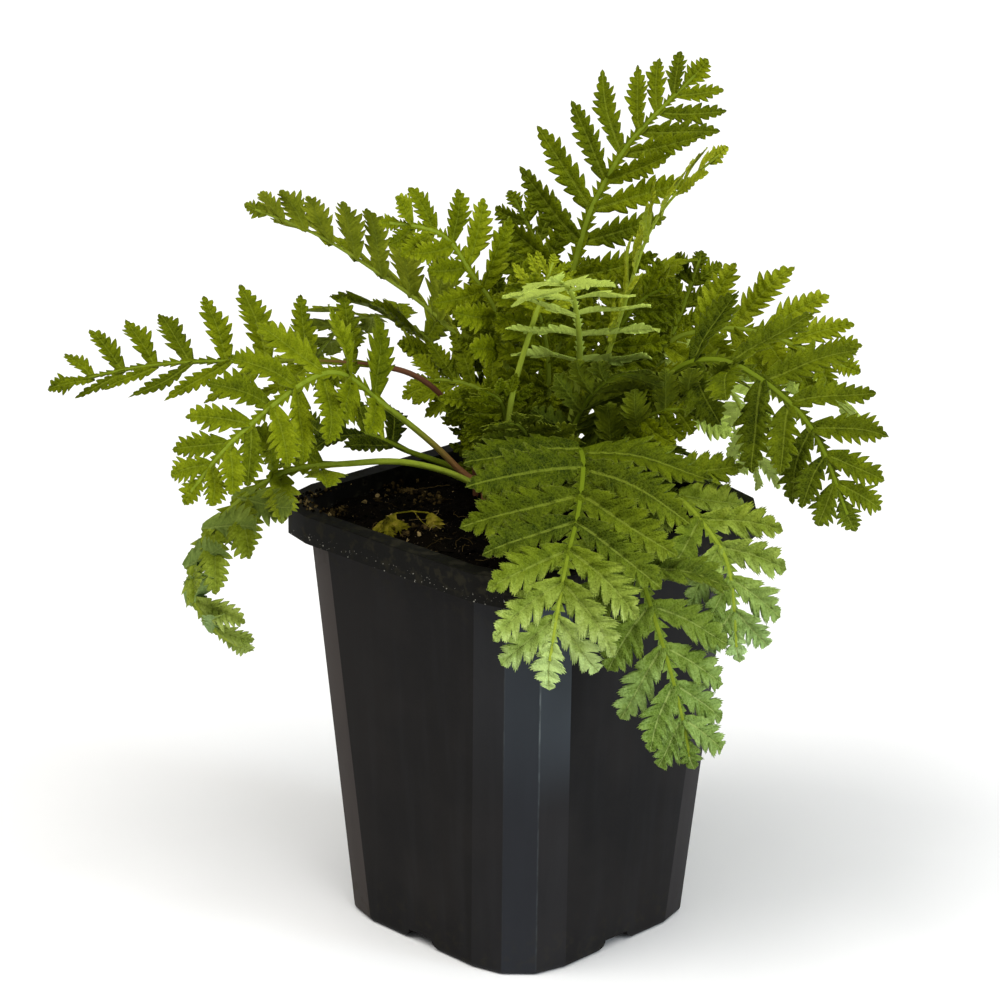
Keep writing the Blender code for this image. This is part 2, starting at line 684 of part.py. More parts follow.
        strip = []
        for index, station in enumerate(self.stations):
            thick = station[2]
            strip.append({side: add(self.strip_point(index, side)[0], thick) for side in (1, -1)})
        for low, high in zip(strip, strip[1:]):
            bm.faces.new((low[1], low[-1], high[-1]))
            bm.faces.new((low[1], high[-1], high[1]))
        for (pair, side), leaflet in self.leaflets.items():
            if pair == "tip":
                roots = (strip[-1][-1], strip[-1][1])
            else:
                station = self.first_pair + 2 * pair
                roots = (strip[station][side], strip[station + 1][side])
            edges = []
            for root, edge_side in zip(roots, (-1, 1)):
                outline = [add(place, BLADE_THICK) for place, _ in leaflet.edge(edge_side)]
                edges.append([root] + outline)
            apex = add(leaflet.point(1, 0)[0], BLADE_THICK)
            for face in leaflet_faces(edges[0], edges[1], apex):
                bm.faces.new(face if side < 0 else face[::-1])
        bmesh.ops.recalc_face_normals(bm, faces=bm.faces)
        name = self.name if self.name == "young_tuft" else "frond_" + self.name
        return thicken(name, bm, collection, material)


def thicken(name, bm, collection, material):
    """Turn a sheet with a thickness at each point into a closed solid."""
    layer = bm.verts.layers.float["thick"]
    shares = [vert[layer] / STALK_THICK for vert in bm.verts]
    item = add_object(name, bm, collection, material)
    group = item.vertex_groups.new(name="thick")
    for index, share in enumerate(shares):
        group.add([index], share, "REPLACE")
    solid = item.modifiers.new("thickness", "SOLIDIFY")
    solid.thickness = STALK_THICK * MM
    solid.offset = 0.0
    solid.vertex_group = group.name
    return item


def build_fallen_leaflet(collection, material, soil):
    """A withered leaflet that lies on the soil, raised until it just clears it."""
    across = Vector((0.36, -0.93, 0))
    roots = [Vector(FALLEN_START) + across * half for half in (-1.6, 1.6)]
    leaflet = Leaflet(roots, Vector((-0.93, -0.36, 0)), across, Vector((0, 0, 1)),
                      FALLEN_LENGTH, 0.4 * FALLEN_LENGTH, math.radians(14), 3)
    bm = bmesh.new()
    depth = bm.verts.layers.float.new("thick")
    edges = []
    for root, side in zip(roots, (-1, 1)):
        places = [root] + [place for place, _ in leaflet.edge(side)]
        edges.append([bm.verts.new(place * MM) for place in places])
    apex = bm.verts.new(leaflet.point(1, 0)[0] * MM)
    for face in leaflet_faces(edges[0], edges[1], apex):
        bm.faces.new(face)
    for vert in bm.verts:
        vert[depth] = BLADE_THICK
    ground = BVHTree.FromObject(soil, bpy.context.evaluated_depsgraph_get())
    drop = min(ground.ray_cast(vert.co, Vector((0, 0, -1)))[3] for vert in bm.verts)
    lift = (GAP + BLADE_THICK) * MM - drop
    bmesh.ops.translate(bm, vec=(0, 0, lift), verts=bm.verts)
    bmesh.ops.recalc_face_normals(bm, faces=bm.faces)
    return thicken("fallen_leaflet", bm, collection, material)


def mesh_trial(item):
    mesh = item.data
    verts = [vert.co / MM for vert in mesh.vertices]
    return Trial(verts, [list(polygon.vertices) for polygon in mesh.polygons])


def build():
    clear_scene()
    plant = bpy.data.collections.new("potted_tansy")
    cutters = bpy.data.collections.new("cutters")
    bpy.context.scene.collection.children.link(plant)
    bpy.context.scene.collection.children.link(cutters)
    pot = build_pot(plant, cutters, make_material("pot", POT_COLOUR, 0.5))
    fronds = [Frond(name, **values) for name, values in FRONDS.items()]
    feet = [frond.foot for frond in fronds]
    soil = build_soil(plant, cutters, make_material("soil", SOIL_COLOUR, 0.95), feet)
    obstacles = [mesh_trial(pot), mesh_trial(soil)]
    obstacles += [frond.strip for frond in fronds]
    green = make_material("leaf", LEAF_COLOUR, 0.5)
    pale = make_material("pale_leaf", PALE_LEAF_COLOUR, 0.5)
    for frond in fronds:
        frond.grow(obstacles)
        frond.build(plant, pale if frond.name in PALE_FRONDS else green)
    build_fallen_leaflet(plant, make_material("withered", WITHERED_COLOUR, 0.8), soil)
    bpy.data.collections.remove(cutters)


build()
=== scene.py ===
"""Looks of the potted tansy: moulded pot, crumbly soil and fine toothed leaves."""

import math
import random
from dataclasses import dataclass, replace

import bmesh
import bpy
import numpy as np
from mathutils import Matrix, Vector, noise
from mathutils.kdtree import KDTree


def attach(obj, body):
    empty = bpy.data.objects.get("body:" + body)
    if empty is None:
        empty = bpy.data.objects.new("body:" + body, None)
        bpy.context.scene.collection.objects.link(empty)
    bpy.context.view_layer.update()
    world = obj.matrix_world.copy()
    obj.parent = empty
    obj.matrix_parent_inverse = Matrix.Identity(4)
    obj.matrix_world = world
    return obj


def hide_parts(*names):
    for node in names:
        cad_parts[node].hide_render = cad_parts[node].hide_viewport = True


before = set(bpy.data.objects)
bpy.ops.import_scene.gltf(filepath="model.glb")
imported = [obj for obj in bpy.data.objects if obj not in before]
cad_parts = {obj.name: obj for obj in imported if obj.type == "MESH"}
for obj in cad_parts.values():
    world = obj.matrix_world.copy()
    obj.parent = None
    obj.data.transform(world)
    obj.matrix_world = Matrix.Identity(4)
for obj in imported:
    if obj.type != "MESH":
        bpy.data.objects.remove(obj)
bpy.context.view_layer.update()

# The pot: one thin-walled moulding of black polypropylene, square with faceted corners. It
# tapers down to four feet, and its rim is turned out and down into a skirt. Handling has
# left dust, scuffs along the facet edges and soil under the rim. Light is painted on too: a
# painted reflection and a painted highlight on the corner facets, a painted highlight down
# one facet edge, and painted shade on the rim band.
MM = 0.001
POT_TURN = math.radians(45.3)
POT_HEIGHT = 152.4
FOOT_HALF = 48.4
BODY_HALF = 59.4
RIM_HALF = 65.0
CORNER_RADIUS = 23.0
CORNER_FACETS = 3
WALL = 1.3
WALL_TOP = POT_HEIGHT - WALL
SKIRT_FOOT = POT_HEIGHT - 10.0
INNER_FOOT_HALF = FOOT_HALF - WALL - 1.4
INNER_FLOOR = 5.8
FOOT_ROUND = 2.0
CHANNEL_HEIGHT = 4.0
CHANNEL_TOP_HALF = 5.5
CHANNEL_FOOT_HALF = 12.5
PAD_RADIUS = 12.0
DRAIN_RADIUS = 4.0
DRAIN_OFFSET = 24.0
CUTTER_DEPTH = 30.0
EDGE_SOFTNESS = 0.3


class Value:
    """A shader socket. Sums and products with it add Math nodes to its material."""

    def __init__(self, finish, socket):
        self.finish = finish
        self.socket = socket

    def math(self, operation, first, second):
        return self.finish.node("Math", {0: first, 1: second}, operation=operation)

    def __add__(self, other):
        return self.math("ADD", self, other)

    def __sub__(self, other):
        return self.math("SUBTRACT", self, other)

    def __rsub__(self, other):
        return self.math("SUBTRACT", other, self)

    def __mul__(self, other):
        return self.math("MULTIPLY", self, other)

    __radd__ = __add__
    __rmul__ = __mul__

    def above(self, low, high):
        """0 under low, 1 over high, smooth in between."""
        return self.finish.node("MapRange", {0: self, 1: low, 2: high, 3: 0.0, 4: 1.0},
                                interpolation_type="SMOOTHSTEP")


class Finish:
    """A material being made. node() adds any node and gives back one of its outputs."""

    def __init__(self, name, roughness, gloss=0.5):
        self.material = bpy.data.materials.new(name)
        self.material.use_nodes = True
        self.tree = self.material.node_tree
        self.shader = self.tree.nodes["Principled BSDF"]
        self.shader.inputs["Roughness"].default_value = roughness
        self.shader.inputs["Specular IOR Level"].default_value = gloss

    def node(self, kind, inputs=None, output=0, stops=None, **settings):
        added = self.tree.nodes.new("ShaderNode" + kind)
        for name, value in settings.items():
            setattr(added, name, value)
        if stops:
            ramp = added.color_ramp
            while len(ramp.elements) < len(stops):
                ramp.elements.new(1.0)
            for element, (place, colour) in zip(ramp.elements, stops):
                element.position = place
                element.color = (*colour, 1)
        for name, value in (inputs or {}).items():
            if isinstance(value, Value):
                self.tree.links.new(value.socket, added.inputs[name])
            else:
                added.inputs[name].default_value = value
        return Value(self, added.outputs[output])

    def place(self, stretch=(1, 1, 1)):
        """Object coordinates in millimetres, stretched along each axis."""
        own = self.node("TexCoord", output="Object")
        scale = [1000 * share for share in stretch]
        return self.node("Mapping", {"Vector": own, "Scale": scale})

    def grain(self, size, detail=2.0, stretch=(1, 1, 1), roughness=0.5):
        """Soft random values around 0.5, with lumps of about this size in millimetres."""
        inputs = {"Vector": self.place(stretch), "Scale": 1 / size, "Detail": detail,
                  "Roughness": roughness}
        return self.node("TexNoise", inputs)

    def paint(self, name):
        """A value painted on the mesh."""
        return self.node("Attribute", output="Fac", attribute_name=name)

    def mix(self, share, first, second):
        """One colour over another. A plain colour is three numbers."""
        first, second = ((*side, 1) if isinstance(side, tuple) else side
                         for side in (first, second))
        return self.node("Mix", {0: share, 6: first, 7: second}, output=2, data_type="RGBA")

    def link(self, socket, value):
        self.tree.links.new(value.socket, self.shader.inputs[socket])

    def bump(self, height, depth, strength=1.0):
        """Relief of this depth in millimetres."""
        inputs = {"Height": height, "Distance": depth * MM, "Strength": strength}
        self.link("Normal", self.node("Bump", inputs, output="Normal"))


def select_only(item):
    bpy.ops.object.select_all(action="DESELECT")
    item.select_set(True)
    bpy.context.view_layer.objects.active = item


def select_faces(item, wanted):
    """In edit mode, select just the faces that the test wants."""
    shape = bmesh.from_edit_mesh(item.data)
    for face in shape.faces:
        face.select_set(wanted(face))
    shape.select_flush_mode()
    bmesh.update_edit_mesh(item.data)


def apply_modifiers(item):
    """Apply them, and round off the last digits, in which one run differs from the next."""
    select_only(item)
    for modifier in list(item.modifiers):
        bpy.ops.object.modifier_apply(modifier=modifier.name)
    for vert in item.data.vertices:
        vert.co = [round(value / MM, 4) * MM for value in vert.co]


def cut(item, cutter):
    """Cut one object out of another and remove it, and the empty slot that it leaves."""
    boolean = item.modifiers.new("cut", "BOOLEAN")
    boolean.solver = "MANIFOLD"
    boolean.object = cutter
    apply_modifiers(item)
    item.data.materials.clear()
    bpy.data.objects.remove(cutter, do_unlink=True)


bpy.ops.mesh.primitive_cube_add(size=2 * MM, location=(0, 0, 0))
pot = bpy.context.object
pot.name = "moulded_pot"
for vert in pot.data.vertices:
    top = vert.co.z > 0
    half = BODY_HALF if top else FOOT_HALF
    vert.co = (vert.co.x * half, vert.co.y * half, WALL_TOP * MM if top else 0)
bpy.ops.object.mode_set(mode="EDIT")
bpy.ops.mesh.select_mode(type="EDGE")
shape = bmesh.from_edit_mesh(pot.data)
for edge in shape.edges:
    edge.select_set(abs(edge.verts[0].co.z - edge.verts[1].co.z) > MM)
bmesh.update_edit_mesh(pot.data)
bpy.ops.mesh.bevel(offset=CORNER_RADIUS * MM, segments=CORNER_FACETS, affect="EDGES")
bpy.ops.mesh.select_mode(type="FACE")
select_faces(pot, lambda face: face.normal.z < -0.9)
bpy.ops.mesh.region_to_loop()
bpy.ops.mesh.bevel(offset=FOOT_ROUND * MM, segments=3, affect="EDGES")
bpy.ops.mesh.select_mode(type="FACE")
select_faces(pot, lambda face: face.normal.z > 0.9)
half = BODY_HALF
height = WALL_TOP
for next_half, next_height in [(RIM_HALF - WALL, WALL_TOP), (RIM_HALF - WALL, SKIRT_FOOT),
                               (RIM_HALF, SKIRT_FOOT), (RIM_HALF, POT_HEIGHT),
                               (BODY_HALF - WALL, POT_HEIGHT), (BODY_HALF - WALL, WALL_TOP),
                               (INNER_FOOT_HALF, INNER_FLOOR)]:
    rise = (next_height - height) * MM
    bpy.ops.mesh.extrude_region_move(TRANSFORM_OT_translate={"value": (0, 0, rise)})
    share = next_half / half
    bpy.ops.transform.resize(value=(share, share, 1), center_override=(0, 0, 0))
    half = next_half
    height = next_height
bpy.ops.object.mode_set(mode="OBJECT")
soften = pot.modifiers.new("soft_edges", "BEVEL")
soften.width = EDGE_SOFTNESS * MM
soften.segments = 2
soften.limit_method = "ANGLE"
soften.angle_limit = math.radians(20)
apply_modifiers(pot)

ends = CHANNEL_FOOT_HALF - CHANNEL_TOP_HALF
steps = [math.radians(angle) for angle in range(90, -1, -15)]
half_outline = [(CHANNEL_FOOT_HALF - ends * math.sin(a), CHANNEL_HEIGHT * (1 - math.cos(a)))
                for a in steps] + [(CHANNEL_FOOT_HALF, -CHANNEL_HEIGHT)]
outline = half_outline + [(-x, z) for x, z in reversed(half_outline)]
for quarter in range(2):
    shape = bmesh.new()
    corners = [shape.verts.new((x * MM, -2 * FOOT_HALF * MM, z * MM)) for x, z in outline]
    swept = bmesh.ops.extrude_face_region(shape, geom=[shape.faces.new(corners)])["geom"]
    far = [item for item in swept if isinstance(item, bmesh.types.BMVert)]
    bmesh.ops.translate(shape, vec=(0, 4 * FOOT_HALF * MM, 0), verts=far)
    bmesh.ops.recalc_face_normals(shape, faces=shape.faces)
    bmesh.ops.rotate(shape, matrix=Matrix.Rotation(quarter * math.pi / 2, 3, "Z"),
                     verts=shape.verts)
    mesh = bpy.data.meshes.new("channel")
    shape.to_mesh(mesh)
    shape.free()
    channel = bpy.data.objects.new("channel", mesh)
    bpy.context.collection.objects.link(channel)
    bpy.ops.mesh.primitive_cylinder_add(vertices=32, radius=PAD_RADIUS * MM,
                                        depth=CUTTER_DEPTH * MM)
    cut(channel, bpy.context.object)
    cut(pot, channel)
for quarter in range(4):
    angle = quarter * math.pi / 2
    spot = [DRAIN_OFFSET * MM * math.cos(angle), DRAIN_OFFSET * MM * math.sin(angle), 0]
    bpy.ops.mesh.primitive_cylinder_add(vertices=24, radius=DRAIN_RADIUS * MM,
                                        depth=CUTTER_DEPTH * MM, location=spot)
    cut(pot, bpy.context.object)
pot.data.transform(Matrix.Rotation(POT_TURN, 4, "Z"))
select_only(pot)
bpy.ops.object.shade_smooth_by_angle(angle=math.radians(32))
level_faces = pot.modifiers.new("level_faces", "WEIGHTED_NORMAL")
level_faces.keep_sharp = True
apply_modifiers(pot)

# Paint of the outer wall, with the twelve narrow corner facets counted round from the right:
# painted reflection and painted highlight on each facet, and dust.
FACET_REFLECTION_PAINT = [0.45, 0.2, 0.6, 0.5, 0.3, 0.2, 0.25, 0.88, 0.30, 0.5, 0.7, 0.3]
FACET_HIGHLIGHT_PAINT = [0.3, 0.2, 0.1, 0.2, 0.3, 0.0, 0.10, 0.44, 0.95, 0.05, 0.2, 0.1]
FACET_DUST = [0.2, 0.1, 0.3, 0.5, 0.9, 1.0, 0.1, 0.0, 0.1, 0.35, 0.3, 0.2]
WALL_PAINT_TOP = (SKIRT_FOOT - 1) * MM
for layer in ("wear_and_edge_highlight", "reflection_paint", "highlight_paint", "dust"):
    pot.data.attributes.new(layer, "FLOAT", "FACE")
wear_and_edge_highlight, reflection_paint, highlight_paint, dust = (pot.data.attributes[layer].data
                            for layer in ("wear_and_edge_highlight", "reflection_paint", "highlight_paint", "dust"))
for polygon in pot.data.polygons:
    corners = [pot.data.vertices[index].co for index in polygon.vertices]
    if abs(polygon.normal.z) >= 0.8 or min(corner.z for corner in corners) >= WALL_PAINT_TOP:
        continue
    azimuth = math.degrees(math.atan2(polygon.normal.y, polygon.normal.x) - POT_TURN) % 360
    if min(azimuth % 90, 90 - azimuth % 90) < 7:
        # The right flat side gets a little painted reflection, the left a little dust.
        reflection_paint[polygon.index].value = 0.05 if abs(azimuth - 270) < 8 else 0.0
        dust[polygon.index].value = 0.035 if abs(azimuth - 180) < 8 else 0.0
    else:
        facet = int(azimuth // 90 * 3 + azimuth % 90 // 30) % 12
        reflection_paint[polygon.index].value = FACET_REFLECTION_PAINT[facet]
        highlight_paint[polygon.index].value = FACET_HIGHLIGHT_PAINT[facet]
        dust[polygon.index].value = FACET_DUST[facet]
    longest_side = max((a - b).length for a, b in zip(corners, corners[1:] + corners[:1]))
    if polygon.area < 0.9 * MM * longest_side:
        # Narrow edge strips: a painted highlight down the edge at 240 degrees, light wear on the
        # rest.
        wear_and_edge_highlight[polygon.index].value = 1.0 if abs(azimuth - 240) < 8 else 0.2

plastic = Finish("black_moulded_plastic", roughness=0.46, gloss=0.05)
streaks = plastic.grain(7.0, 4.0, (1, 1, 0.06))
cloudy = plastic.grain(34.0, 3.0)
clean_black = (0.0062, 0.0058, 0.0058)
tint = plastic.mix(cloudy.above(0.35, 0.65), clean_black, (0.0106, 0.0095, 0.0090))
tint = plastic.mix(streaks.above(0.45, 0.75) * 0.14, tint, (0.026, 0.027, 0.030))
level = plastic.node("SeparateXYZ", {0: plastic.place()}, output=2)
# Painted highlight: the corner facets painted lighter towards the top of the wall.
highlight_rise = level.above(60, 105)
# Painted reflection of the studio, bluish grey, on the corner facets.
reflection_share = plastic.paint("reflection_paint") * (0.7 + 0.6 * streaks)
tint = plastic.mix(reflection_share, tint, (0.0210, 0.0225, 0.0265))
# Dust, painted lighter towards the top along with the painted highlight.
dust_and_highlight = plastic.paint("dust") * (0.5 + 0.6 * streaks + 0.25 * highlight_rise)
tint = plastic.mix(dust_and_highlight, tint, (0.050, 0.042, 0.038))
# Painted highlight, bluish, on the facets that have it.
tint = plastic.mix(plastic.paint("highlight_paint") * highlight_rise, tint, (0.047, 0.056, 0.066))
# Scuffs along the facet edges, and the painted highlight on one edge, brighter higher up.
scuff_and_edge_highlight = plastic.paint("wear_and_edge_highlight") * (0.08 + 0.42 * highlight_rise)
scuff_and_edge_highlight = scuff_and_edge_highlight * (0.6 + plastic.grain(1.6, 5.0, (1, 1, 0.25)).above(0.44, 0.62))
tint = plastic.mix(scuff_and_edge_highlight, tint, (0.130, 0.150, 0.155))
under_rim = level.above(POT_HEIGHT - 30, POT_HEIGHT) * 0.75 + (1 - level.above(2, 26)) * 0.5
# Painted shade: the rim band painted darker than the wall.
painted_rim_shade = level.above(SKIRT_FOOT - 0.4, SKIRT_FOOT)
tint = plastic.mix(painted_rim_shade * 0.85, tint, (0.0036, 0.0034, 0.0022))
soiled = under_rim * plastic.grain(3.5, 6.0).above(0.50, 0.66)
tint = plastic.mix(soiled * 0.42, tint, (0.040, 0.036, 0.022))
rim_edge = level.above(SKIRT_FOOT - 1.5, SKIRT_FOOT)
rim_edge = rim_edge * (1 - level.above(SKIRT_FOOT + 1.0, SKIRT_FOOT + 5.0))
specks = plastic.grain(0.8, 2.0).above(0.67, 0.73) * (0.12 + rim_edge)
tint = plastic.mix(specks.above(0.1, 0.6) * 0.75, tint, (0.34, 0.33, 0.28))
plastic.link("Base Color", tint)
plastic.link("Roughness", 0.40 + 0.22 * cloudy + 0.3 * soiled)
plastic.bump(plastic.grain(1.4, 3.0) * 0.35 + streaks * 0.65, 0.12, 0.5)
pot.data.materials.append(plastic.material)
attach(pot, "root")
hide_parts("pot")

# The soil: dark, loose potting compost filled in by hand to half a centimetre under the rim.
# Crumbs, bark chips and pale grains lie loose on it, and thin root fibres stick out.
SOIL_TOP = 147.0
SOIL_FLOOR = 6.2
SOIL_GAP = 0.3
SOIL_CELLS = 150
CRUMBS = 3300
LARGE_CRUMBS = 220
RIM_CRUMBS = 110
HEAPED_CRUMBS = 330
HEAPS = [(-41, 26), (-49, 38), (-33, 16), (-66, 5), (-38, -16)]
SPLASH = 181
CHIPS = 70
ROOTS = 75
ROOT_STEPS = 9
rng = np.random.default_rng(7)


def soil_height(x, y):
    waves = (np.sin(0.11 * x + 0.4) * np.cos(0.09 * y - 0.3)
             + 0.6 * np.sin(0.23 * x + 0.19 * y) + 0.4 * np.cos(0.31 * y - 0.17 * x))
    crown = 2.0 * np.exp(-((x - 4) ** 2 + (y - 24) ** 2) / 1100)
    return SOIL_TOP - 1 + 1.1 * waves + crown


def lumps(place, size):
    """Rounded lumps of this size around zero, rougher than plain noise."""
    spot = Vector(place) / size
    return 1 - 2 * abs(noise.noise(spot)) + 0.6 * noise.noise(spot * 2.3)


bpy.ops.mesh.primitive_grid_add(x_subdivisions=SOIL_CELLS, y_subdivisions=SOIL_CELLS, size=2)
soil = bpy.context.object
soil.name = "potting_soil"
inner_half = FOOT_HALF + (BODY_HALF - FOOT_HALF) * (SOIL_TOP / WALL_TOP) - WALL - SOIL_GAP
inner_radius = CORNER_RADIUS - WALL - SOIL_GAP
turn = Matrix.Rotation(POT_TURN, 3, "Z")
corner_middle = inner_half - inner_radius
corner_reach = inner_radius * math.cos(math.radians(15))
for vert in soil.data.vertices:
    spread = max(abs(vert.co.x), abs(vert.co.y))
    place = Vector((0, 0, 0))
    if spread > 1e-6:
        heading = Vector((vert.co.x, vert.co.y, 0)).normalized()
        limit = inner_half / max(abs(heading.x), abs(heading.y))
        for facet in (15, 45, 75):
            angle = math.radians(facet)
            ahead = abs(heading.x) * math.cos(angle) + abs(heading.y) * math.sin(angle)
            wall = corner_middle * (math.cos(angle) + math.sin(angle)) + corner_reach
            limit = min(limit, wall / ahead)
        place = turn @ (heading * (limit * spread))
    rough = 0.55 * lumps((place.x, place.y, 3), 6) + 0.45 * lumps((place.x, place.y, 9), 2.2)
    settled = 1.0 if spread < 0.97 else 0.4
    height = soil_height(place.x, place.y) + settled * rough
    vert.co = (place.x * MM, place.y * MM, height * MM)
bpy.ops.object.mode_set(mode="EDIT")
bpy.ops.mesh.select_mode(type="EDGE")
bpy.ops.mesh.select_all(action="SELECT")
bpy.ops.mesh.region_to_loop()
bpy.ops.mesh.extrude_edges_move(TRANSFORM_OT_translate={"value": (0, 0, -20 * MM)})
shape = bmesh.from_edit_mesh(soil.data)
foot_share = (INNER_FOOT_HALF - SOIL_GAP) / inner_half
for vert in shape.verts:
    if vert.select:
        vert.co = (vert.co.x * foot_share, vert.co.y * foot_share, SOIL_FLOOR * MM)
bmesh.update_edit_mesh(soil.data)
bpy.ops.mesh.edge_face_add()
bpy.ops.mesh.select_all(action="SELECT")
bpy.ops.mesh.normals_make_consistent(inside=False)
bpy.ops.object.mode_set(mode="OBJECT")
bpy.ops.object.shade_smooth_by_angle(angle=math.radians(50))


class Heap:
    """Many closed shapes gathered into one mesh, each with values painted on its points."""

    def __init__(self, *painted):
        self.points = []
        self.faces = []
        self.paints = {name: [] for name in painted}
        self.count = 0

    def add(self, points, faces, **paints):
        self.points.append(np.asarray(points, dtype=np.float64))
        self.faces.append(np.asarray(faces, dtype=np.int64) + self.count)
        self.count += len(points)
        for name, values in self.paints.items():
            values.append(np.broadcast_to(paints.get(name, 0.0), (len(points),)))

    def make(self, name, smooth_angle):
        """The object, from points in millimetres, sharp only where faces turn further."""
        points = np.concatenate(self.points) * MM
        faces = [face.tolist() for block in self.faces for face in block]
        mesh = bpy.data.meshes.new(name)
        mesh.from_pydata(points.tolist(), [], faces)
        for paint, values in self.paints.items():
            layer = mesh.attributes.new(paint, "FLOAT", "POINT")
            layer.data.foreach_set("value", np.concatenate(values).astype(np.float32))
        item = bpy.data.objects.new(name, mesh)
        bpy.context.collection.objects.link(item)
        mesh.shade_smooth()
        mesh.set_sharp_from_angle(angle=math.radians(smooth_angle))
        return item


def random_turn():
    """A turn to anywhere, as a matrix."""
    quaternion = rng.normal(size=4)
    w, x, y, z = quaternion / np.linalg.norm(quaternion)
    return np.array([[1 - 2 * (y * y + z * z), 2 * (x * y - z * w), 2 * (x * z + y * w)],
                     [2 * (x * y + z * w), 1 - 2 * (x * x + z * z), 2 * (y * z - x * w)],
                     [2 * (x * z - y * w), 2 * (y * z + x * w), 1 - 2 * (x * x + y * y)]])


def soil_spot():
    """A random place on the soil, in millimetres, as x, y and the surface height."""
    while True:
        u, v = rng.uniform(-1, 1, 2) * (inner_half - 2)
        if abs(u) + abs(v) < 1.62 * inner_half:
            spot = turn @ Vector((u, v, 0))
            return spot.x, spot.y, soil_height(spot.x, spot.y)


def crumb_form(subdivisions, rough):
    """One broken crumb of unit size, as points and faces."""
    bpy.ops.mesh.primitive_ico_sphere_add(subdivisions=subdivisions, radius=1)
    crumb = bpy.context.object
    offset = Vector(rng.uniform(0, 50, 3))
    points = [vert.co * (1 + rough * noise.noise(vert.co * 1.3 + offset))
              for vert in crumb.data.vertices]
    faces = [list(polygon.vertices) for polygon in crumb.data.polygons]
    bpy.data.objects.remove(crumb, do_unlink=True)
    return np.array(points), np.array(faces)


def strew(form, sides, turned, place, tone):
    """Lay one crumb of these side lengths and this turn at a place."""
    points, faces = form
    litter.add((points * sides) @ turned.T + place, faces, tone=tone)


small_crumbs = [crumb_form(1, 0.9) for _ in range(6)]
large_crumbs = [crumb_form(2, 0.8) for _ in range(6)]
litter = Heap("tone")
for index in range(CRUMBS):
    large = index < LARGE_CRUMBS
    x, y, z = soil_spot()
    size = rng.uniform(0.7, 1.5) if large else rng.uniform(0.25, 0.8)
    sides = size * np.array([1, rng.uniform(0.6, 1), rng.uniform(0.45, 0.8)])
    turned = random_turn()
    dark = rng.random() < (0.90 if large else 0.96)
    strew((large_crumbs if large else small_crumbs)[index % 6], sides, turned,
          [x, y, z + 0.35 * size], rng.uniform(0.0, 0.30) if dark else rng.uniform(0.5, 1.0))
for index in range(RIM_CRUMBS):
    around = rng.normal(SPLASH, 6)
    reach = 73.8 + 8.0 * rng.random() - 0.9 * abs(around - SPLASH)
    heading = math.radians(around)
    size = rng.uniform(0.2, 0.75)
    place = [reach * math.cos(heading), reach * math.sin(heading), POT_HEIGHT + 0.5 * size]
    strew(small_crumbs[index % 6], size, random_turn(), place, rng.uniform(0.1, 0.9))
for index in range(HEAPED_CRUMBS):
    x, y = [middle + rng.normal(0, 3.4) for middle in HEAPS[index % len(HEAPS)]]
    size = rng.uniform(0.3, 1.1)
    strew(small_crumbs[index % 6], size, random_turn(),
          [x, y, soil_height(x, y) + 0.9 * rng.random() + 0.4 * size], rng.uniform(0.30, 0.62))
chip = crumb_form(2, 0.5)
for index in range(CHIPS):
    x, y, z = soil_spot()
    long_side = rng.uniform(1.0, 3.4)
    sides = long_side * np.array([1, rng.uniform(0.25, 0.5), rng.uniform(0.08, 0.2)])
    flat = Matrix.Rotation(rng.uniform(0, 6.28), 3, "Z")
    flat = flat @ Matrix.Rotation(rng.normal(0, 0.3), 3, "X")
    strew(chip, sides, np.array(flat), [x, y, z + 0.5], rng.uniform(0.05, 0.45))


def thread(route, radii, sides=5):
    """Points and faces of a thin closed tube along a route."""
    route = np.asarray(route)
    ahead = np.gradient(route, axis=0)
    ahead /= np.linalg.norm(ahead, axis=1)[:, None]
    across = np.cross(ahead, [0.13, 0.21, 0.97])
    across /= np.linalg.norm(across, axis=1)[:, None]
    above = np.cross(across, ahead)
    angles = np.arange(sides) * 2 * math.pi / sides
    points = (route[:, None] + radii[:, None, None]
              * (across[:, None] * np.cos(angles)[None, :, None]
                 + above[:, None] * np.sin(angles)[None, :, None])).reshape(-1, 3)
    points = np.vstack([points, route[0], route[-1]])
    faces = []
    count = len(route)
    for row in range(count - 1):
        for side in range(sides):
            a = row * sides + side
            b = row * sides + (side + 1) % sides
            faces += [(a, a + sides, b + sides), (a, b + sides, b)]
    for side in range(sides):
        after = (side + 1) % sides
        faces.append((count * sides, side, after))
        last = (count - 1) * sides
        faces.append((count * sides + 1, last + after, last + side))
    return points, faces


for index in range(ROOTS):
    x, y, z = soil_spot()
    heading = rng.uniform(0, 6.28)
    curl = rng.normal(0, 0.28)
    length = rng.uniform(5, 16)
    route = []
    for step in range(ROOT_STEPS):
        heading += curl + rng.normal(0, 0.12)
        x += math.cos(heading) * length / ROOT_STEPS
        y += math.sin(heading) * length / ROOT_STEPS
        along = turn.transposed() @ Vector((x, y, 0))
        aside = abs(along.x) + abs(along.y)
        if max(abs(along.x), abs(along.y)) > inner_half - 3 or aside > 1.6 * inner_half:
            break
        rise = 0.9 + 1.3 * math.sin(math.pi * step / (ROOT_STEPS - 1)) * rng.uniform(0.2, 1)
        route.append((x, y, soil_height(x, y) + rise))
    if len(route) > 3:
        radii = np.full(len(route), rng.uniform(0.08, 0.15))
        radii[-1] *= 0.5
        points, faces = thread(route, radii)
        litter.add(points, faces, tone=rng.uniform(0.35, 0.9))
loose = litter.make("soil_litter", smooth_angle=40)

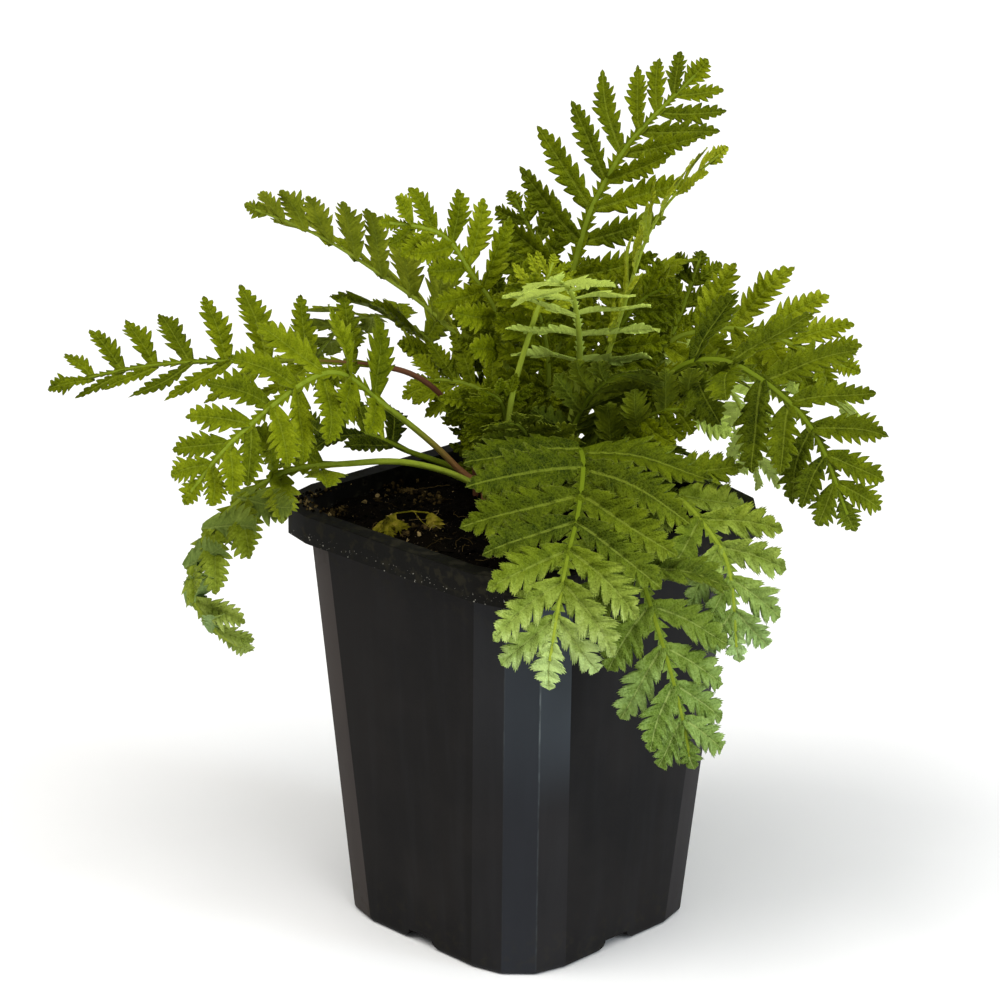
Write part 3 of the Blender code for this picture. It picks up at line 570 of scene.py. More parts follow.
compost = Finish("potting_compost", roughness=0.93, gloss=0.02)
damp = compost.grain(9.0, 4.0)
grit = compost.grain(1.1, 5.0, roughness=0.7)
ground = compost.mix(damp.above(0.38, 0.62), (0.0008, 0.0006, 0.0003),
                     (0.0026, 0.0018, 0.0009))
ground = compost.mix(grit.above(0.56, 0.70) * 0.5, ground, (0.013, 0.009, 0.004))
sand = compost.grain(0.7, 2.0).above(0.70, 0.76)
ground = compost.mix(sand * 0.8, ground, (0.20, 0.155, 0.10))
compost.link("Base Color", ground)
compost.link("Roughness", 0.80 + 0.2 * grit)
compost.bump(grit * 0.7 + compost.grain(0.45, 3.0) * 0.3, 0.9, 0.9)
soil.data.materials.append(compost.material)

bits = Finish("soil_crumbs_and_bark", roughness=0.9, gloss=0.03)
fine = bits.grain(0.6, 4.0, (1, 1, 2.5))
tone = bits.paint("tone") + 0.16 * (fine - 0.5)
colour = bits.node("ValToRGB", {0: tone}, stops=[
    (0.0, (0.0007, 0.0005, 0.0003)), (0.34, (0.0030, 0.0020, 0.0010)),
    (0.62, (0.060, 0.040, 0.012)), (1.0, (0.30, 0.22, 0.09))])
bits.link("Base Color", colour)
bits.bump(fine, 0.25, 0.8)
loose.data.materials.append(bits.material)
for piece in (soil, loose):
    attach(piece, "root")
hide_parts("soil")

# The leaves: each is one feathery blade on a grooved stalk that grows out of the soil. Toothed
# leaflets stand in pairs along a narrow winged midrib. They are soft and thin, olive green with
# pale yellow veins, finely puckered above and paler and greyer below.
# Their colour also holds painted light and shade: lower hanging parts painted lighter and
# greyer, and painted shade along each leaflet's midrib.
STALK_FOOT = SOIL_TOP - 7.7
UPRIGHT_TOP = SOIL_TOP + 3.5
SPAN_STEPS = 8
STALK_SIDES = 12
WING_HALF = 2.3
BLADE_THICK = 0.34
LEAF_PAINTS = ("rib", "vein", "edge", "along", "tone", "under", "stalk")

# Leaflets: spacing shrinks and the angle closes from the leaf's first pair to its tip
SPACING_TAPER = 0.32
FIRST_GAP = 0.4
TIP_GAP = 1.1
FIRST_ANGLE = 68
ANGLE_CLOSING = 30
ANGLE_SPREAD = 4
LEAFLET_FILL = 0.96
WIDEST_LEAFLET = 0.52
SHORTEST_LEAFLET = 0.34
TIP_LENGTH = 0.30
TIP_WIDTH = 0.62

# Where each leaf's stalk leaves the soil, the points it passes, the way its upper side faces,
# the bare share of its length, its longest leaflet, pairs of leaflets, their fold, droop and
# turn in degrees, and how far those on one side lean up and ahead. Most have six pairs.
FRONDS = {
    "front": dict(
        foot=(4, 8), route=[(15, 6, 162), (18, -10, 175), (20, -32, 177), (18, -60, 169),
                            (14, -83, 160), (11, -96, 147), (8, -102, 127)],
        facing=(0.05, 0.6, 0.8), bare=0.20, longest=50, pairs=8, fold=2, droop=10, turn=-34),
    "front_right": dict(
        foot=(12, 8), route=[(23, 2, 162), (36, -16, 169), (51, -36, 167), (61, -50, 160),
                             (68, -60, 149), (71, -70, 121)],
        facing=(0.1, -0.5, 0.9), bare=0.30, longest=33, pairs=7, fold=6, droop=12, turn=-25),
    "right_fall": dict(
        foot=(8, 1), route=[(16, -11, 158), (26, -36, 161), (36, -68, 155), (44, -82, 136),
                            (51, -88, 113), (56, -89, 90)],
        facing=(0.1, -0.5, 0.9), bare=0.42, longest=34, fold=4, droop=10),
    "left_low": dict(
        foot=(-13, 14), route=[(-22, 12, 160), (-32, 6, 172), (-47, -6, 188),
                               (-66, -24, 205), (-93, -56, 193), (-110, -75, 176)],
        facing=(-0.2, -0.6, 0.8), bare=0.38, longest=31, pairs=8, fold=12, droop=16),
    "right_low": dict(
        foot=(19, 21), route=[(34, 18, 169), (47, 10, 192), (59, 2, 203), (75, -8, 203),
                              (96, -28, 189), (109, -49, 161)],
        facing=(0.1, -0.6, 0.8), bare=0.44, longest=36, pairs=7, fold=8, droop=14),
    "top": dict(
        foot=(6, 34), route=[(13, 40, 203), (21, 46, 238), (27, 50, 252), (38, 55, 269),
                             (62, 65, 292)],
        facing=(-0.25, -0.85, 0.45), bare=0.46, longest=38, pairs=8, fold=10, droop=12),
    "left_far": dict(
        foot=(-16, 22), route=[(-22, 18, 176), (-37, 11, 194), (-60, 2, 201), (-97, -4, 203),
                               (-128, -8, 202), (-161, -14, 196)],
        facing=(0.0, -0.25, 1.0), bare=0.42, longest=31, pairs=8, fold=32, droop=10,
        lean={1: (-50, 20), -1: (10, -22)}),
    "left_high": dict(
        foot=(-8, 36), route=[(-16, 37, 190), (-31, 40, 208), (-52, 46, 222), (-74, 52, 234),
                              (-99, 56, 243)],
        facing=(0.3, 0.5, 0.8), bare=0.36, longest=28, pairs=8, fold=34, droop=8),
    "top_right": dict(
        foot=(12, 24), route=[(24, 24, 182), (33, 22, 212), (42, 18, 243), (53, 13, 261),
                              (68, 8, 276)],
        facing=(-0.9, 0.1, 0.4), bare=0.42, longest=26, pairs=7, fold=14, droop=10,
        lean={1: (0, 20), -1: (0, 20)}),
    "young_pale": dict(
        foot=(4, 16), route=[(15, 13, 171), (19, 8, 199), (18, 0, 218), (15, -12, 231),
                             (9, -30, 240)],
        facing=(0.1, 0.2, 1.0), bare=0.50, longest=31, fold=0, droop=10, turn=-44,
        lean={1: (-4, -16), -1: (-4, -16)}),
    "right_high": dict(
        foot=(19, 29), route=[(31, 31, 169), (48, 32, 198), (63, 30, 206), (83, 24, 207),
                              (114, 8, 198)],
        facing=(0.0, -0.45, 0.9), bare=0.36, longest=34, pairs=7, fold=14, droop=18),
    "left_arch": dict(
        foot=(-6, 22), route=[(-5, 24, 182), (-9, 20, 212), (-18, 15, 229), (-29, 9, 245),
                              (-49, -3, 252)],
        facing=(0.4, -0.5, 0.7), bare=0.42, longest=27, pairs=7, fold=22, droop=14),
    "left_curl": dict(
        foot=(-11, 7), route=[(-22, 4, 160), (-39, -6, 168), (-56, -16, 171), (-82, -34, 172),
                              (-104, -48, 157), (-110, -55, 140), (-102, -56, 125),
                              (-90, -52, 115)],
        facing=(-0.2, -0.5, 0.9), bare=0.42, longest=29, pairs=7, fold=20, droop=26),
    "inner_left": dict(
        foot=(-3, 13), route=[(-2, 14, 168), (-7, 16, 181), (-16, 21, 187), (-27, 27, 188),
                              (-39, 32, 186)],
        facing=(0.0, -0.25, 0.95), bare=0.36, longest=26, fold=8, droop=14),
    "back_up": dict(
        foot=(-1, 40), route=[(5, 44, 177), (9, 52, 203), (8, 60, 221), (-5, 70, 246)],
        facing=(-0.2, -0.9, 0.3), bare=0.44, longest=25, fold=12, droop=20),
    "right_up": dict(
        foot=(13, 36), route=[(31, 46, 161), (46, 62, 179), (56, 78, 195), (66, 98, 218)],
        facing=(-0.3, -0.8, 0.5), bare=0.38, longest=25, fold=12, droop=10),
    "right_edge": dict(
        foot=(17, 13), route=[(21, 12, 163), (31, 6, 170), (41, 0, 177), (60, -6, 195),
                              (77, -10, 204)],
        facing=(-0.4, 0.5, 0.7), bare=0.20, longest=25, fold=42, droop=8),
    "left_dark": dict(
        foot=(-17, 31), route=[(-25, 28, 156), (-40, 29, 161), (-60, 35, 166), (-95, 46, 157)],
        facing=(0.0, -0.2, 1.0), bare=0.42, longest=25, fold=15, droop=20),
    "back_pale": dict(
        foot=(20, 37), route=[(35, 44, 161), (54, 62, 173), (73, 76, 173), (84, 86, 153),
                              (89, 92, 127)],
        facing=(0.3, 0.4, 0.9), bare=0.38, longest=30, fold=8, droop=16),
    "right_pale": dict(
        foot=(26, 24), route=[(42, 36, 169), (63, 50, 184), (86, 60, 186), (106, 68, 176),
                              (127, 74, 156)],
        facing=(0.2, 0.3, 0.9), bare=0.40, longest=30, fold=10, droop=18),
    "back_left": dict(
        foot=(-8, 44), route=[(-20, 52, 176), (-40, 68, 196), (-62, 84, 194), (-80, 98, 172)],
        facing=(-0.2, 0.3, 0.9), bare=0.34, longest=32, fold=10, droop=16),
    "back_mid": dict(
        foot=(0, 48), route=[(2, 58, 182), (4, 78, 200), (2, 98, 192), (-2, 114, 166)],
        facing=(0.0, 0.3, 1.0), bare=0.34, longest=32, fold=10, droop=14),
    "back_right": dict(
        foot=(8, 44), route=[(20, 56, 182), (34, 76, 206), (46, 94, 208), (60, 112, 190)],
        facing=(0.2, 0.3, 0.9), bare=0.36, longest=31, fold=12, droop=14),
    "young_tuft": dict(
        foot=(-9, 29), route=[(-11, 29, 160), (-14, 28, 170), (-17, 27, 180)],
        facing=(0.2, -0.9, 0.3), bare=0.36, longest=10, pairs=5, fold=10, droop=10),
}

# How each leaf is tinted: its tone with painted light and shade from -1, deep shade green, to 1,
# light yellow green; greyness and painted highlight from 0, olive, to 1, grey green; red for how
# far brown red climbs its stalk.
TINTS = {
    "front": (-0.62, 0.6, 0.0), "front_right": (0.0, 0.8, 0.0), "right_fall": (-0.5, 0.6, 0.0),
    "left_low": (0.05, 0.15, 0.55), "left_far": (-0.1, 0.05, 0.85), "left_curl": (0.1, 0.3, 0.0),
    "left_high": (0.5, 0.0, 0.0), "left_arch": (0.2, 0.0, 0.1), "left_dark": (-0.8, 0.1, 0.0),
    "top": (-0.12, 0.0, 0.0), "top_right": (0.7, 0.0, 0.0), "right_edge": (0.1, 0.0, 0.2),
    "right_low": (-0.4, 0.4, 0.0), "right_high": (0.15, 0.1, 0.0), "right_up": (-0.2, 0.0, 0.0),
    "back_up": (-0.3, 0.0, 0.0), "inner_left": (0.1, 0.1, 0.1), "young_pale": (0.8, 0.0, 0.0),
    "back_pale": (0.3, 0.5, 0.0), "right_pale": (0.3, 0.5, 0.0), "back_left": (0.0, 0.1, 0.0),
    "back_mid": (0.0, 0.1, 0.0), "back_right": (0.0, 0.1, 0.0), "young_tuft": (-0.7, 0.6, 0.1),
    "crown_front": (0.1, 0.0, 0.0), "crown_tall": (0.2, 0.0, 0.0),
    "crown_stalk": (0.6, 0.0, 0.0), "crown_left": (0.1, 0.0, 0.0),
}
PALE_FRONDS = ("young_pale", "back_pale", "right_pale")

# The leaf with leaflets rolled up on one side, and the tips that turn over, both in degrees.
ROLLED = {"left_curl": 155}
TIP_TWIST = {"left_far": -50, "left_high": 30, "top_right": 30}

# How broad the leaflets are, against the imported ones, the leaves with deep lobes, and those
# with a narrow wing along their midrib.
BROAD = {"front": 1.25, "front_right": 1.25, "right_fall": 1.25, "left_curl": 1.15,
         "inner_left": 1.3, "crown_front": 1.3, "crown_middle": 1.3, "crown_right": 1.3,
         "left_high": 1.3, "left_far": 0.78, "left_low": 1.15, "top": 1.0, "top_right": 1.2,
         "young_pale": 1.0, "crown_tall": 1.3, "crown_back_right": 1.3, "right_low": 1.2}
LOBED = ("front", "front_right", "right_fall", "crown_middle", "crown_right", "crown_tall",
         "crown_back_right")
NARROW_WINGS = ("young_pale", "top_right", "left_high")

# Leaves of the crown, which fill the heart of the plant behind the large front leaf.
CROWN = {
    "crown_left": dict(
        foot=(-7, 16), route=[(-7, 14, 164), (-6, 8, 178), (-8, 0, 189), (-14, -8, 195)],
        facing=(0.1, -0.6, 0.8), bare=0.34, longest=20, fold=4, droop=10),
    "crown_front": dict(
        foot=(2, 10), route=[(3, 6, 162), (2, -2, 175), (-2, -12, 184), (-8, -22, 187)],
        facing=(0.0, 0.6, 0.8), bare=0.28, longest=25, fold=4, droop=12),
    "crown_stalk": dict(
        foot=(-2, 7), route=[(-5, 3, 172), (-4, 0, 190), (2, 4, 212), (10, 12, 236)],
        facing=(0.2, -0.8, 0.5), bare=0.80, longest=16, pairs=4, fold=8, droop=10),
    "crown_middle": dict(
        foot=(10, 14), route=[(15, 10, 170), (22, 4, 188), (31, -4, 199), (42, -12, 203)],
        facing=(0.0, 0.4, 0.9), bare=0.30, longest=29, fold=4, droop=12),
    "crown_right": dict(
        foot=(16, 17), route=[(26, 10, 164), (38, 2, 180), (50, -6, 188), (62, -14, 188)],
        facing=(0.0, -0.5, 0.9), bare=0.30, longest=28, fold=6, droop=12),
    "crown_tall": dict(
        foot=(8, 26), route=[(9, 24, 180), (8, 20, 202), (4, 12, 219), (-4, 2, 229)],
        facing=(0.2, -0.9, 0.4), bare=0.34, longest=26, pairs=7, fold=8, droop=10),
    "crown_back": dict(
        foot=(0, 30), route=[(0, 32, 178), (-4, 32, 198), (-12, 30, 212), (-24, 26, 219)],
        facing=(0.1, -0.9, 0.4), bare=0.30, longest=27, pairs=7, fold=6, droop=10),
    "crown_back_right": dict(
        foot=(16, 32), route=[(22, 32, 178), (30, 32, 200), (40, 30, 216), (52, 26, 224)],
        facing=(-0.1, -0.9, 0.4), bare=0.30, longest=27, pairs=7, fold=6, droop=10),
    "crown_low": dict(
        foot=(-2, 20), route=[(-4, 20, 160), (-8, 18, 172), (-14, 14, 180), (-24, 8, 182)],
        facing=(0.0, -0.9, 0.4), bare=0.20, longest=24, fold=4, droop=10),
    "crown_low_right": dict(
        foot=(13, 24), route=[(20, 22, 160), (27, 20, 172), (36, 16, 181), (47, 10, 183)],
        facing=(0.0, -0.9, 0.4), bare=0.20, longest=24, fold=4, droop=10),
}


def square_to(direction, heading):
    """The part of a direction that is square to a heading, at unit length."""
    return (direction - direction.dot(heading) * heading).normalized()


def swung(first, second, degrees):
    """Two directions at right angles, both turned by an angle, the first towards the second."""
    angle = math.radians(degrees)
    return (math.cos(angle) * first + math.sin(angle) * second,
            math.cos(angle) * second - math.sin(angle) * first)


def spline(a, b, c, d, share):
    """The point this share of the way from b to c, on a smooth curve through all four."""
    return 0.5 * (2 * b + (c - a) * share + (2 * a - 5 * b + 4 * c - d) * share ** 2
                  + (3 * b - a - 3 * c + d) * share ** 3)


class Stem:
    """Stalk and midrib of one leaf: places, headings and upper-side directions."""

    def __init__(self, foot, route, facing, bare):
        start = Vector((foot[0], foot[1], UPRIGHT_TOP))
        knots = [start] + [Vector(point) for point in route]
        before = Vector((knots[1].x, knots[1].y, 2 * start.z - knots[1].z))
        knots = [before] + knots + [2 * knots[-1] - knots[-2]]
        self.places = [Vector((foot[0], foot[1], STALK_FOOT))]
        for index in range(1, len(knots) - 2):
            for step in range(SPAN_STEPS):
                self.places.append(spline(*knots[index - 1:index + 3], step / SPAN_STEPS))
        self.places.append(knots[-2])
        self.travel = [0.0]
        for here, there in zip(self.places, self.places[1:]):
            self.travel.append(self.travel[-1] + (there - here).length)
        self.length = self.travel[-1]
        self.blade_start = bare * self.length
        last = len(self.places) - 1
        self.headings = [(self.places[min(index + 1, last)] - self.places[max(index - 1, 0)])
                         .normalized() for index in range(last + 1)]
        first = min(range(last + 1), key=lambda i: abs(self.travel[i] - self.blade_start))
        uppers = {first: square_to(Vector(facing), self.headings[first])}
        for index in range(first + 1, last + 1):
            uppers[index] = square_to(uppers[index - 1], self.headings[index])
        for index in range(first - 1, -1, -1):
            uppers[index] = square_to(uppers[index + 1], self.headings[index])
        self.uppers = [uppers[index] for index in range(last + 1)]

    def at(self, distance):
        """Place, heading and upper direction at a distance from the stalk's foot."""
        index = 0
        while index < len(self.places) - 2 and self.travel[index + 1] < distance:
            index += 1
        span = self.travel[index + 1] - self.travel[index]
        share = min(max((distance - self.travel[index]) / span, 0), 1)
        place = self.places[index].lerp(self.places[index + 1], share)
        heading = self.headings[index].lerp(self.headings[index + 1], share).normalized()
        upper = square_to(self.uppers[index].lerp(self.uppers[index + 1], share), heading)
        return place, heading, upper


CUPPING = math.radians(10)
FORWARD_CURVE = 0.08
BENDS = [(0, 0), (8, 0), (-8, 0), (0, 16), (0, -16), (16, 0), (-16, 0), (8, 16), (-8, -16),
         (16, 16), (-16, -16), (24, 0), (-24, 0), (24, 20), (-24, -20), (34, 0), (-34, 0),
         (34, 24), (-34, -24), (46, 0), (-46, 0)]
SHORTER = (1.0, 0.86, 0.72, 0.56)
OUTLINES = {
    3: [(0.32, 0.94), (0.37, 0.58), (0.60, 1.0), (0.65, 0.58), (0.84, 0.80), (0.88, 0.40)],
    2: [(0.44, 1.0), (0.50, 0.60), (0.78, 0.88), (0.83, 0.46)],
    1: [(0.58, 1.0), (0.66, 0.60)],
}
TIP_MISS = 0.7
OUTLINE_MISS = 0.62


@dataclass
class Leaflet:
    """Where one leaflet lies: its root, its directions, its length and width in millimetres."""

    base: Vector
    along: Vector
    forward: Vector
    upper: Vector
    length: float
    width: float
    droop: float

    def bent(self, lift, twist, share):
        """A copy that is lifted, twisted about its own rib, and shortened."""
        along, upper = swung(self.along, self.upper, lift)
        forward, upper = swung(self.forward, upper, twist)
        return replace(self, along=along, forward=forward, upper=upper,
                       length=self.length * share, width=self.width * math.sqrt(share))

    def surface(self, share, across, height):
        """Places and upper directions for arrays of share of length, mm across and mm up."""
        base, along, forward, upper = (np.array(v) for v in (self.base, self.along,
                                                             self.forward, self.upper))
        share, across, height = (np.asarray(values, dtype=float)[..., None]
                                 for values in (share, across, height))
        angle = self.droop * share
        rib = (along * np.sin(angle) - upper * (1 - np.cos(angle))) / self.droop
        face = np.cos(angle) * upper + np.sin(angle) * along
        place = (base + self.length * rib + forward * (FORWARD_CURVE * self.length * share ** 2)
                 + forward * (across * math.cos(CUPPING))
                 + face * (np.abs(across) * math.sin(CUPPING) + height))
        return place, face

    def outline(self, teeth):
        """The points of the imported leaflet's outline, in millimetres."""
        share = [1.0] + [spot for spot, _ in OUTLINES[teeth]] * 2
        across = [0.0] + [0.5 * self.width * half * side for side in (-1, 1)
                          for _, half in OUTLINES[teeth]]
        return self.surface(share, across, np.zeros(len(share)))[0]


def as_grown(nominal, tree, large):
    """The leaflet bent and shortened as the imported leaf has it, or None where it has none."""
    least = OUTLINE_MISS
    found = None
    teeth = 3 if nominal.length > large else 2 if nominal.length > 9 else 1
    for share in SHORTER:
        for lift, twist in BENDS:
            leaflet = nominal.bent(lift, twist, share)
            if tree.find(leaflet.surface(1.0, 0.0, 0.0)[0])[2] < TIP_MISS:
                outline = leaflet.outline(teeth)
                miss = sum(tree.find(point)[2] for point in outline) / len(outline)
                if miss < least:
                    least = miss
                    found = leaflet
    return found


def add_blade(heap, middle, face, thick, **paints):
    """A thin closed blade from a grid of points, the upper side towards face."""
    columns, rows = middle.shape[:2]
    top = middle + face * (0.5 * thick[..., None])
    under = middle - face * (0.5 * thick[..., None])
    points = np.concatenate([top.reshape(-1, 3), under.reshape(-1, 3)])
    count = columns * rows
    grid = np.arange(count).reshape(columns, rows)
    a, b, c, d = grid[:-1, :-1], grid[1:, :-1], grid[1:, 1:], grid[:-1, 1:]
    quads = [np.stack([a, b, c, d], -1).reshape(-1, 4),
             np.stack([d, c, b, a], -1).reshape(-1, 4) + count]
    rim = np.concatenate([grid[:, 0], grid[-1, 1:], grid[-2::-1, -1], grid[0, -2:0:-1]])
    after = np.roll(rim, -1)
    quads.append(np.stack([after, rim, rim + count, after + count], -1))
    normal = np.cross(middle[1, 1] - middle[0, 1], middle[0, 2] - middle[0, 1])
    faces = np.concatenate(quads)
    if np.dot(normal, face[0, 1]) < 0:
        faces = faces[:, ::-1]
    flat = {name: np.concatenate([np.ravel(np.broadcast_to(value, (columns, rows)))] * 2)
            for name, value in paints.items()}
    flat["under"] = np.repeat([0.0, 1.0], count)
    heap.add(points, faces, **flat)


FINE_ACROSS = np.array([-1, -0.82, -0.56, -0.28, 0, 0.28, 0.56, 0.82, 1])
PLAIN_ACROSS = np.array([-1, -0.76, -0.38, 0, 0.38, 0.76, 1])
ENVELOPE = ([0, 0.05, 0.14, 0.28, 0.46, 0.66, 0.84, 1.0],
            [0.34, 0.56, 0.84, 1.0, 1.0, 0.80, 0.48, 0.03])
TOOTH = [(0.0, 1.0), (0.14, 0.50), (0.40, 0.16), (0.62, 0.0), (0.82, 0.40)]
LOBE = [(0.0, 1.0), (0.06, 0.62), (0.12, 0.36), (0.17, 0.52), (0.29, 0.12), (0.34, 0.32),
        (0.50, 0.0), (0.56, 0.28), (0.68, 0.14), (0.73, 0.42), (0.85, 0.36), (0.91, 0.70)]


def add_leaflet(heap, leaflet, reach_back, dice, tip=False, shrivel=0.0, broad=1.15, lobed=0.0):
    """One toothed or lobed leaflet: swept forward, a sunken vein to each, puckered between."""
    many = 1.6 + leaflet.length / 7.5 if lobed else 4.0 + leaflet.length / 6.3
    teeth = int(min(max(round(many), 3), 8 if lobed else 10))
    tooth = LOBE if lobed else TOOTH
    spread_rows = FINE_ACROSS if lobed else PLAIN_ACROSS
    vein_phase = 0.52 if lobed else 0.62
    starts = np.cumsum([0] + [1 + 0.16 * dice.uniform(-1, 1) for _ in range(teeth)])
    starts = 1 - (1 - starts / starts[-1]) ** 1.12
    spots, inward = np.array(tooth).T
    share = starts[:-1, None] + np.diff(starts)[:, None] * spots
    share = np.append(share, 1.0)
    phase = np.append(np.tile(spots, teeth), vein_phase)
    cut_in = np.append(np.tile(inward, teeth), 0.0)
    which = np.append(np.repeat(np.arange(teeth), len(spots)), teeth - 1)
    half = 0.5 * leaflet.width * np.interp(share, *ENVELOPE) * (1.35 if tip else broad)
    depth = (lobed or 0.47) * np.interp(share, [0, 0.15, 0.6, 1], [0.6, 0.95, 1.0, 0.8])
    across = np.zeros((len(share), len(spread_rows)))
    height = np.zeros_like(across)
    sides = {-1: spread_rows < 0, 1: spread_rows > 0}
    wave = [dice.uniform(-1, 1) for _ in range(4)]
    for side, rows in sides.items():
        long_teeth = np.array([1 + 0.16 * dice.uniform(-1, 1) for _ in range(teeth)])
        curl = np.array([dice.uniform(-1, 1) for _ in range(teeth)])
        edge = half * (1 - depth * cut_in) * long_teeth[which]
        spread = np.abs(spread_rows[rows])[None, :]
        across[:, rows] = side * edge[:, None] * spread
        quilt = -np.cos(2 * math.pi * (phase - vein_phase))[:, None]
        quilt = quilt * np.sin(math.pi * spread ** 0.8)
        height[:, rows] += (0.60 if lobed else 0.34) * min(1, leaflet.width / 11) * quilt
        height[:, rows] += 0.34 * half[:, None] * spread * (1 - 0.85 * spread)
        height[:, rows] += (0.45 * curl[which] - 0.35)[:, None] * spread ** 3 * half[:, None] / 6
        bend = np.sin(2 * math.pi * (1.3 * share + wave[side]))[:, None]
        height[:, rows] += 0.07 * leaflet.width * bend * spread ** 2 * (1 + 2 * shrivel)
    height -= 0.45 * np.exp(-(across / 1.1) ** 2) * (1 - share)[:, None]
    height += 0.018 * leaflet.length * np.sin(2 * math.pi * (share + wave[2]))[:, None]
    wide = np.abs(across)
    sweep = math.tan(math.radians(36 if lobed else 30)) * (0.35 if tip else 1.0)
    ramp = np.minimum(1, share / 0.10)[:, None]
    forward = share[:, None] * leaflet.length * 0.985 + sweep * wide * ramp
    forward += 0.20 * wide ** 2 / leaflet.width * ramp
    forward = np.minimum(forward, leaflet.length * (0.96 + 0.04 * share[:, None]))
    forward -= reach_back * np.clip(1 - share / 0.06, 0, 1)[:, None]
    sideways = 0.035 * leaflet.length * np.sin(math.pi * share)[:, None] * wave[3]
    middle, face = leaflet.surface(forward / leaflet.length, across + sideways, height)
    vein = np.abs(phase - vein_phase)[:, None] * leaflet.length / teeth + 0.02 * wide
    edge = np.abs(spread_rows)[None, :]
    thick = BLADE_THICK * (1 - 0.5 * edge ** 4) * np.ones_like(across)
    rib_width = (1.25 - 0.75 * share[:, None]) * min(max(leaflet.length / 24, 1), 1.8)
    add_blade(heap, middle, face, thick, rib=wide / rib_width, vein=vein, edge=edge,
              along=share[:, None], tone=dice.uniform(-1, 1), stalk=0.0)


